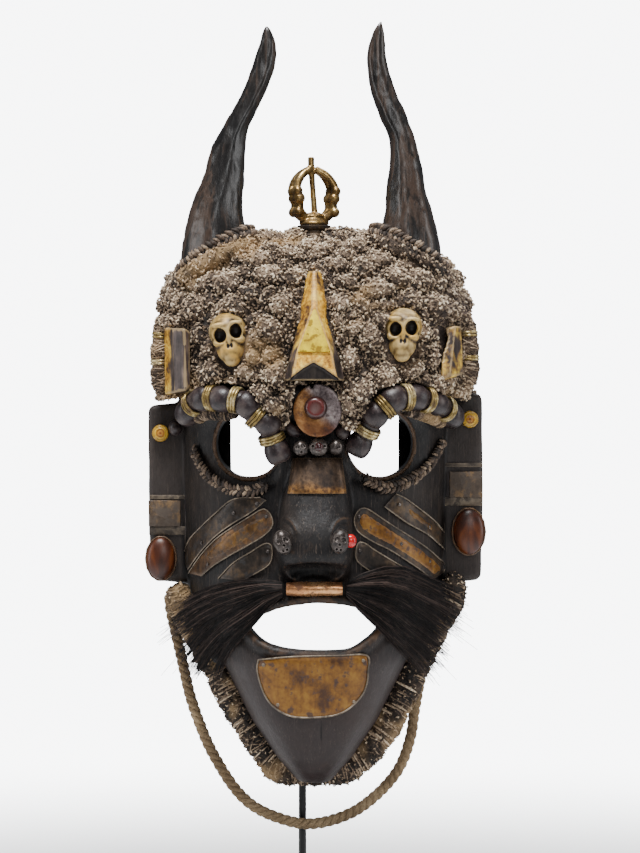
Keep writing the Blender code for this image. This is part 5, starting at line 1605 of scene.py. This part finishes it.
def brow(side, node, spots):
    spots = np.array(spots) * MM
    spine = on_face(spots[:, 0], spots[:, 1], BEAD_RADIUS + 0.0003)
    path = smooth(spine, 200)
    ways = unit(np.gradient(path, axis=0))
    beads, rings = [], []
    for k, spot in enumerate(spine):
        near = int(np.argmin(np.linalg.norm(path - spot, axis=1)))
        way = ways[near]
        if k % 2:
            rings += [wires(path[near] + way * step, way, BEAD_RADIUS - 0.0006, 0.00095)
                      for step in (-0.0019, 0.0, 0.0019)]
        else:
            size = BEAD_RADIUS * (0.99 + 0.03 * math.sin(k * 2.3))
            long = size * 0.90
            profile = [(size * math.cos(b) ** 0.42, long * math.sin(b))
                       for b in np.linspace(-1.45, 1.45, 21)]
            beads.append(turned(profile, path[near], way, 32))
    beads.append(cords([path], [BEAD_RADIUS * 0.80], 12))
    add_piece(f"{side}_brow_beads", joined(beads), BEAD, node)
    add_piece(f"{side}_brow_rings", store(joined(rings), edge=0.4), WIRE_BRASS)
    band = spots[1:6] - np.array([0, 0.0085])
    line = smooth(on_face(band[:, 0], band[:, 1], 0.0045), 80)
    size = np.interp(np.linspace(0, 1, 80), (0, 0.15, 0.8, 1), (0.003, 0.0056, 0.0052, 0.003))
    pad = roughened(cords([line], [size * 0.95], 16), 400, 0.0006)
    hairs = wrapped(line, AHEAD, size, 300, 0.00044, 41, 0.12)
    pad = store(joined([store(pad, tint=0.1), hairs]), tip=0.26, knot=0.35)
    add_piece(f"{side}_brow_lashing", pad, CRUST_HAIR)


brow("left", "brow_beads_left", BROW_LEFT)
brow("right", "brow_beads_right", BROW_RIGHT)


# Small beads, ear straps and stones
def small_bead(name, node, u, v, size, finish, turn=0.0):
    centre = on_face(u * MM, v * MM, size[1] * MM + 0.0003)
    mesh = roughened(blob(centre, [s * MM for s in size], turn, 32, 20), 400, 0.00015)
    add_piece(name, store(mesh, edge=0.25), finish, node)


small_bead("left_bridge_tube", "bridge_bead_left_tube", -13.6, 231.2, (3.9, 3.9, 6.0), BEAD, 0.9)


def holed_ball(name, node, centre, size, turn, spots, finish):
    """A metal ball drilled like a little skull; spots are (across, up, radius) in millimetres."""
    pits = []
    c, s = math.cos(turn), math.sin(turn)
    for x, z, r in spots:
        reach = size[1] * math.sqrt(max(0.1, 1 - (x / size[0]) ** 2 - (z / size[2]) ** 2))
        at = centre + np.array([x * c - z * s, -reach, x * s + z * c]) * MM
        pits.append(blob(at, (r * MM, 0.0018, r * MM), across=12, rings=8))
    body = [blob(centre, [k * MM for k in size], turn)]
    add_piece(name, edged(sculpted(body, 0.00035, pits, 1)), finish, node)


holed_ball("left_bridge_ball", "bridge_bead_left", on_face(-0.0086, 0.2196, 0.0095),
           (4.8, 4.6, 5.0), 0.2, [(-1.9, 1.1, 1.5), (1.8, 1.1, 1.5), (0, -2.4, 0.9)], SILVER)
holed_ball("middle_bridge_ball", "bridge_bead_middle", on_face(0.0027, 0.2204, 0.0100),
           (6.4, 5.0, 5.6), 0.0, [(-3.6, 0.6, 1.0), (3.6, 0.6, 1.0)], SILVER)
holed_ball("right_bridge_ball", "bridge_bead_right", on_face(0.0136, 0.2204, 0.0095),
           (4.8, 4.6, 5.0), -0.2, [(1.4, 0.4, 1.8)], SILVER)
small_bead("right_bridge_end", "bridge_bead_right_end", 18.4, 230.2, (5.0, 4.6, 5.2), BEAD)
add_piece("bridge_coral", blob(on_face(0.0029, 0.2204, 0.0142), (0.0025, 0.0019, 0.0028)), CORAL)

for name, node, u, v, f, size, finish in (
        ("left_yellow_bead", "ear_bead_left", -100.5, 229, 48.8, (5.6, 3.5, 5.6), YELLOW),
        ("right_yellow_bead", "ear_bead_right", 101.5, 238, 48.8, (5.6, 3.5, 5.6), YELLOW),
        ("left_brown_bead", "brown_bead_left", -90.5, 232.5, 54.5, (4.6, 6.0, 5.0), BEAD),
        ("right_brown_bead", "brown_bead_right", 94.5, 238.5, 52.0, (3.4, 5.0, 4.2), BEAD)):
    mesh = blob(place(u * MM, v * MM, f * MM), [s * MM for s in size], 0, 40, 24)
    if finish is YELLOW:
        points = verts_of(mesh)
        out = np.hypot(points[:, 0] - u * MM, points[:, 2] - MASK_Z - v * MM) / (size[0] * MM)
        store(mesh, tip=out)
        points[:, 1] += np.where(points[:, 1] < BACK_Y - f * MM,
                                 0.0006 * np.sin(out * 3.2 * 2 * math.pi), 0)
        move_verts(mesh, points)
    add_piece(name, mesh, finish, node)
for side in ("left", "right"):
    add_piece(f"{side}_ear_band", edged(softened(f"ear_strap_{side}", 0.0004, 3)), EAR_BAND,
              f"ear_strap_{side}", 40)
    add_piece(f"{side}_ear_bezel", edged(remade(f"ear_bezel_{side}", 0.0008, 2)), OLD_COPPER,
              f"ear_bezel_{side}")
for side, near, far, low, high in (("left", -80.6, -108.2, 169.0, 185.0),
                                   ("right", 81.6, 109.6, 188.0, 206.0)):
    strips = []
    for bottom, top in ((low - 6.5, low - 0.8), (high + 0.8, high + 3.6)):
        corners = [(near, bottom), (far, bottom), (far, top), (near, top)]
        strips.append(with_modifiers(prism(corners, EAR_FRONT + 0.0001, EAR_FRONT + 0.0009),
                                     bevel(0.0003, 2)))
    add_piece(f"{side}_ear_edges", store(joined(strips), edge=0.3), EAR_EDGE)
for side, u, v, half, tall in (("left", -100.2, 147.2, 9.3, 13.8),
                               ("right", 100.6, 164.8, 10.2, 14.8)):
    add_piece(f"{side}_ear_stone", blob(place(u * MM, v * MM, EAR_FRONT + 0.0065),
                                        (half * MM, 0.0052, tall * MM), 0, 48, 32),
              AMBER, f"ear_stone_{side}")


# Plaited cords under the eyes
for side, node, spots in (
        ("left", "eye_braid_left", [(-77.5, 220), (-74.5, 212.5), (-68, 202), (-55.2, 194),
                                    (-41, 192), (-29.5, 196)]),
        ("right", "eye_braid_right", [(31.5, 200.5), (44.2, 194), (57.8, 197.5), (71.2, 207),
                                      (78.5, 217), (82, 224)])):
    line = smooth(spots, 220) * MM
    path = on_face(line[:, 0], line[:, 1], STITCH_RADIUS * 0.45)
    up = out_of(line[:, 0], line[:, 1])
    add_piece(f"{side}_eye_plait", chevrons(path, up, STITCH_RADIUS * 1.20, 0.00105, 0.0029, 23),
              PLAIT_HAIR, node)


# Sheet metal on the face
def edge_wire(name, outlines, gauge=0.00045):
    """Fine raised lines along the edges of the sheets."""
    lines = []
    for outline in outlines:
        line = smooth(outline, max(12, int(lengths_along(outline)[-1]))) * MM
        lines.append(on_face(line[:, 0], line[:, 1], PLATE + 0.0003))
    add_piece(name, store(cords(lines, [gauge] * len(lines), 6), edge=0.5), EDGE_WIRE)


def sheet(name, node, outline, finish, surface=front, thick=PLATE, step=1.5):
    """Sheet metal cut to an outline, in millimetres, that follows the wood."""
    corners = np.array(outline, float)
    edge = []
    for a, b in zip(corners, np.roll(corners, -1, axis=0)):
        count = max(1, int(round(math.dist(a, b) / step)))
        edge += [a + (b - a) * t for t in np.arange(count) / count]
    low, high = corners.min(0), corners.max(0)
    grid_u, grid_v = np.meshgrid(np.arange(low[0], high[0], step), np.arange(low[1], high[1], step))
    grid = np.stack([grid_u.ravel(), grid_v.ravel()], axis=1)
    grid = grid[distance_to(corners, grid[:, 0], grid[:, 1]) > step * 0.6]
    spots = [Vector(p) for p in edge] + [Vector(p) for p in grid]
    flat, _, faces, *_ = geometry.delaunay_2d_cdt(spots, [], [list(range(len(edge)))], 1, 1e-6)
    flat = np.array([tuple(p) for p in flat])
    border = distance_to(corners, flat[:, 0], flat[:, 1])
    u, v = flat[:, 0] * MM, flat[:, 1] * MM
    lift = 0.0004 + thick * (0.55 + 0.45 * ease(border, 0.0, 1.1))
    upper, under = on_face(u, v, lift, surface), on_face(u, v, -0.0006, surface)
    bm = bmesh.new()
    tops = [bm.verts.new(p) for p in upper]
    feet = [bm.verts.new(p) for p in under]
    for face in faces:
        bm.faces.new([tops[k] for k in face])
        bm.faces.new([feet[k] for k in face[::-1]])
    rims = [e for e in bm.edges if len(e.link_faces) == 1]
    number = {vert: k for k, vert in enumerate(tops)}
    for e in rims:
        if e.verts[0] in number and e.verts[1] in number:
            a, b = number[e.verts[0]], number[e.verts[1]]
            bm.faces.new((tops[a], tops[b], feet[b], feet[a]))
    mesh = mesh_of(bm)
    rubbed = np.exp(-(border / 1.1) ** 2)
    store(mesh, edge=np.concatenate([rubbed, rubbed]))
    return add_piece(name, mesh, finish, node, 50)


A_LINE = [(-30.8, 186.6), (-40.3, 178.8), (-53.6, 170.6), (-63.9, 162.8), (-73.6, 152.4),
          (-82.4, 140.4)]
A_TOP = [(-34.5, 188.4), (-51.7, 187.0), (-63.8, 177.5), (-73.5, 168.4), (-81.0, 160.4),
         (-85.0, 152.0)]
B_LINE = [(-82.0, 138.0), (-73.2, 150.6), (-63.5, 161.0), (-53.0, 168.6), (-40.0, 176.8),
          (-34.0, 180.4), (-30.4, 180.2), (-27.4, 176.4), (-26.6, 170.6), (-31.4, 164.6),
          (-42.2, 157.8), (-53.6, 151.4), (-65.0, 144.0), (-73.0, 137.0)]
C_LINE = [(-61.5, 136.2), (-51.7, 146.4), (-40.3, 153.6), (-32.6, 158.4), (-28.4, 158.6),
          (-26.8, 154.6), (-28.6, 146.0), (-39.0, 138.8)]
sheet("left_upper_strip", "strip_upper_left", A_TOP + [(-84.8, 142.0)] + A_LINE[::-1], TARNISH)
sheet("left_middle_strip", "strip_middle_left", B_LINE, OLD_COPPER)
sheet("left_lower_strip", "strip_lower_left", C_LINE + [(-45, 135.0)], TARNISH)
edge_wire("left_strip_edges", [A_TOP, A_LINE, B_LINE, C_LINE])

D_TOP = [(52.0, 190.4), (58.0, 187.6), (65.8, 182.0), (77.6, 172.6), (84.6, 164.4)]
D_LOW = [(84.6, 153.6), (79.6, 158.3), (72.3, 164.4), (58.8, 172.2), (44.7, 182.4)]
E_LINE = [(84.4, 137.8), (84.8, 143.4), (79.6, 149.0), (72.3, 155.4), (61.9, 162.7), (51.7, 169.1),
          (42.2, 175.5), (34.5, 180.6), (30.0, 181.2), (26.4, 177.6), (25.4, 172.0), (28.4, 166.0),
          (37.8, 159.9), (47.9, 154.9), (58.7, 147.9), (69.1, 140.6), (76.3, 134.4)]
F_LINE = [(58.8, 142.2), (47.9, 148.9), (37.8, 155.2), (32.0, 159.2), (28.2, 159.4), (26.6, 155.4),
          (27.2, 148.0), (36.4, 140.6)]
sheet("right_upper_strip", "strip_upper_right", D_TOP + D_LOW, TARNISH)
sheet("right_middle_strip", "strip_middle_right", E_LINE, TARNISH)
sheet("right_lower_strip", "strip_lower_right", F_LINE + [(54, 138)], TARNISH)
edge_wire("right_strip_edges", [D_TOP, D_LOW, E_LINE, F_LINE])


def shrink_outline(outline, inset):
    """An outline drawn in by a little all round."""
    p = np.array(outline, float)
    ways = unit(np.roll(p, -1, axis=0) - np.roll(p, 1, axis=0))
    normal = np.stack([-ways[:, 1], ways[:, 0]], axis=1)
    trial = p + normal * inset
    inward = inside(p, *trial.mean(axis=0)) and inside(p, trial[:, 0], trial[:, 1]).mean() > 0.5
    return p + normal * inset * (1 if inward else -1)


sheet("right_ochre_inlay", None, shrink_outline(E_LINE, 3.0), OCHRE, thick=PLATE + 0.0005)
sheet("left_copper_inlay", None, [(-31.5, 173.5), (-33.5, 176.0), (-41.0, 172.6), (-54.0, 164.6),
                                  (-66.0, 155.8), (-71.0, 149.5), (-66.0, 148.0), (-52.0, 155.4),
                                  (-40.0, 163.0)], DULL_OCHRE, thick=PLATE + 0.0004)
sheet("right_upper_inlay", None, [(57, 182.2), (62, 181.0), (76, 170.0), (79.5, 163.0),
                                  (73.5, 167.4), (62, 175.4)], DULL_OCHRE, thick=PLATE + 0.0004)
CHIN = [(-35.4, 85.8), (-20, 87.6), (-2.8, 88.5), (16, 88.8), (33.3, 88.6), (34.4, 78.5),
        (32.6, 66.9), (26, 57.6), (15.5, 50.8), (0, 48.7), (-14.9, 49.5), (-26.4, 55.7),
        (-32.7, 64.9), (-36.5, 78.4)]
sheet("chin_sheet", "chin_plate", CHIN, OCHRE)
edge_wire("chin_edge", [[tuple(p) for p in shrink_outline(CHIN, 0.3)] + [CHIN[0]]], gauge=0.0006)
sheet("nose_sheet", "nose_plate", [(-17.0, 191), (20.5, 191), (17.6, 213.6), (-14.0, 213.6)],
      NOSE_PLATE, skin)
rivets("cheek_rivets", [(-72.9, 158.5), (-36.5, 184.4), (-51.7, 178.1), (-68.6, 144.8),
                        (-29.6, 154.0), (-30.6, 176.0), (54.4, 183.6), (74.3, 168.8),
                        (28.6, 176.0), (55.5, 158.5), (74.4, 146.6), (28.9, 154.6)], SILVER,
       lift=PLATE + 0.0009)
rivets("chin_rivets", [(-32.3, 82.3), (-23.2, 56.9), (31.0, 85.2), (25.1, 58.8)], EDGE_WIRE,
       lift=PLATE + 0.0004)


# Nostril beads
NOSTRIL_PITS = [(-2.2, 1.2, 1.7), (2.3, 1.2, 1.7), (0, -2.0, 0.9), (-1.4, -5.2, 0.8),
                (1.2, -5.2, 0.8)]
NOSTRIL_DEPTH = front(0.02, 0.16)
for side, u, v, lift, turn in (("left", -0.0196, 0.1607, 0.0265, 0.30),
                               ("right", 0.0162, 0.1614, 0.0300, -0.15)):
    holed_ball(f"{side}_nostril_skull", f"nostril_bead_{side}", place(u, v, NOSTRIL_DEPTH + lift),
               (6.0, 5.6, 8.0), turn, NOSTRIL_PITS, SILVER)
add_piece("nostril_red", blob(place(0.0228, 0.1616, NOSTRIL_DEPTH + 0.0285),
                              (0.0037, 0.0034, 0.0043)), RED_BEAD, "nostril_coral")


# Moustache
BAR_LEVEL = 0.1305
BAR_HALF = 0.0178
BAR_DEPTH = front(0, BAR_LEVEL) + BAR_RADIUS + 0.0003
bar_u = np.linspace(-BAR_HALF, BAR_HALF, 24)
bar_size = BAR_RADIUS * (1 - 0.10 * np.abs(bar_u / BAR_HALF) ** 4)
bar = roughened(cords([place(bar_u, BAR_LEVEL, BAR_DEPTH)], [bar_size], 24), 300, 0.0003)
add_piece("copper_bar", store(bar, edge=0.5), COPPER, "moustache_bar", 50)


def hair_rest(u, v):
    """Depth the moustache rests at: the cheek, then a slope down over the beard roll."""
    edge = 0.86 * section(v)[0]
    a = np.abs(u)
    return np.maximum(front(np.minimum(a, edge), v) - 0.9 * np.maximum(0.0, a - edge), 0.058)


def moustache(name, node, side, top_edge, low_edge, belly_size):
    wad = shrunk(remade(node, 0.0018, 3), 0.0022)
    root = place(side * 0.0203, BAR_LEVEL, 0.110)
    spots = verts_of(wad)
    spots[:, ::2] = root[::2] + (spots[:, ::2] - root[::2]) * 0.88
    move_verts(wad, spots)
    add_piece(name + "_wad", store(wad, tint=0.05), HAIR, node)
    upper, lower = smooth(top_edge, HAIR_STEPS), smooth(low_edge, HAIR_STEPS)
    s = np.linspace(0, 1, HAIR_STEPS)
    lines, shades = [], []
    for lock in range(LOCKS):
        middle = (lock + dice.random()) / LOCKS
        lock_reach, lock_lift = dice.uniform(0.72, 1.04), dice.uniform(0.0, 1.0)
        bend, shade = dice.normal(0, 0.05), dice.random()
        for _ in range(LOCK_HAIRS):
            w = middle + dice.normal(0, 0.030)
            spot = (middle + (w - middle) * (1.15 - 0.75 * s) + bend * s ** 1.5
                    + dice.normal(0, 0.022) * s)[:, None]
            spot = np.clip(spot, -0.10, 1.10)
            reach = lock_reach * dice.uniform(0.84, 1.07)
            reach += (dice.random() < 0.10) * 0.22 * dice.random()
            line = upper * (1 - spot) + lower * spot
            belly = np.sin(math.pi * np.clip(spot[:, 0], 0, 1)) * belly_size * s * s
            line = line - np.stack([belly * 0.85, belly * 0.45], axis=1)
            run = lengths_along(line)
            ahead = line[-1] - line[-2]
            grown = np.vstack([line, line[-1] + ahead * 2.5])
            far = np.append(run, run[-1] + np.linalg.norm(ahead) * 2.5)
            want = np.linspace(0.0, reach * run[-1], HAIR_STEPS)
            line = np.stack([np.interp(want, far, grown[:, k]) for k in (0, 1)], axis=1)
            line[:, 1] += dice.normal(0, 1.5) * s ** 2 - 2.0 * s ** 3 * dice.random()
            u, v = side * -line[:, 0] * MM, line[:, 1] * MM
            thick = (0.0125 - 0.0050 * s) * math.sin(math.pi * min(max(w, 0.1), 0.9)) ** 0.5
            lift = lock_lift * 0.5 + 0.5 * dice.random()
            f = hair_rest(u, v) + thick * (0.35 + 0.75 * lift) + 0.0012 * dice.normal() * s
            lines.append(place(u, v, f))
            shades.append(0.45 * shade + 0.60 * dice.random() ** 2)
    taper = np.linspace(1.0, 0.35, HAIR_STEPS) * HAIR_RADIUS
    hair = cords(lines, [taper] * len(lines), 4, False)
    store(hair, tint=np.repeat(shades, len(hair.vertices) // len(lines)))
    add_piece(name + "_hair", hair, HAIR)


moustache("left_moustache", "moustache_left", -1,
          [(-20.3, 134.0), (-33, 135.6), (-50, 134.2), (-70, 129.5), (-91, 118.8)],
          [(-20.3, 126.0), (-30, 118.8), (-40.5, 106.5), (-52, 96), (-60, 84), (-65, 69)], 9)
moustache("right_moustache", "moustache_right", 1,
          [(-20.3, 134.5), (-36, 141), (-48, 143.5), (-58, 143), (-72, 136.5), (-86, 130),
           (-95, 125)],
          [(-20.3, 126.5), (-28, 118), (-37.5, 110), (-48, 100), (-57.4, 90), (-67, 81),
           (-73, 73)], 3)


# Stand
add_piece("stand_foot", softened("stand_base", 0.0010, 3), STEEL, "stand_base", 40)
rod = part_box("stand_rod")
rod_line = [((rod[0].x + rod[1].x) / 2, (rod[0].y + rod[1].y) / 2, z)
            for z in np.linspace(rod[0].z, rod[1].z, 12)]
add_piece("stand_pole", cords([rod_line], [ROD_RADIUS], 20), STEEL, "stand_rod", 50)

for thing in list(CURLS.objects):
    bpy.data.objects.remove(thing, do_unlink=True)
bpy.data.collections.remove(CURLS)
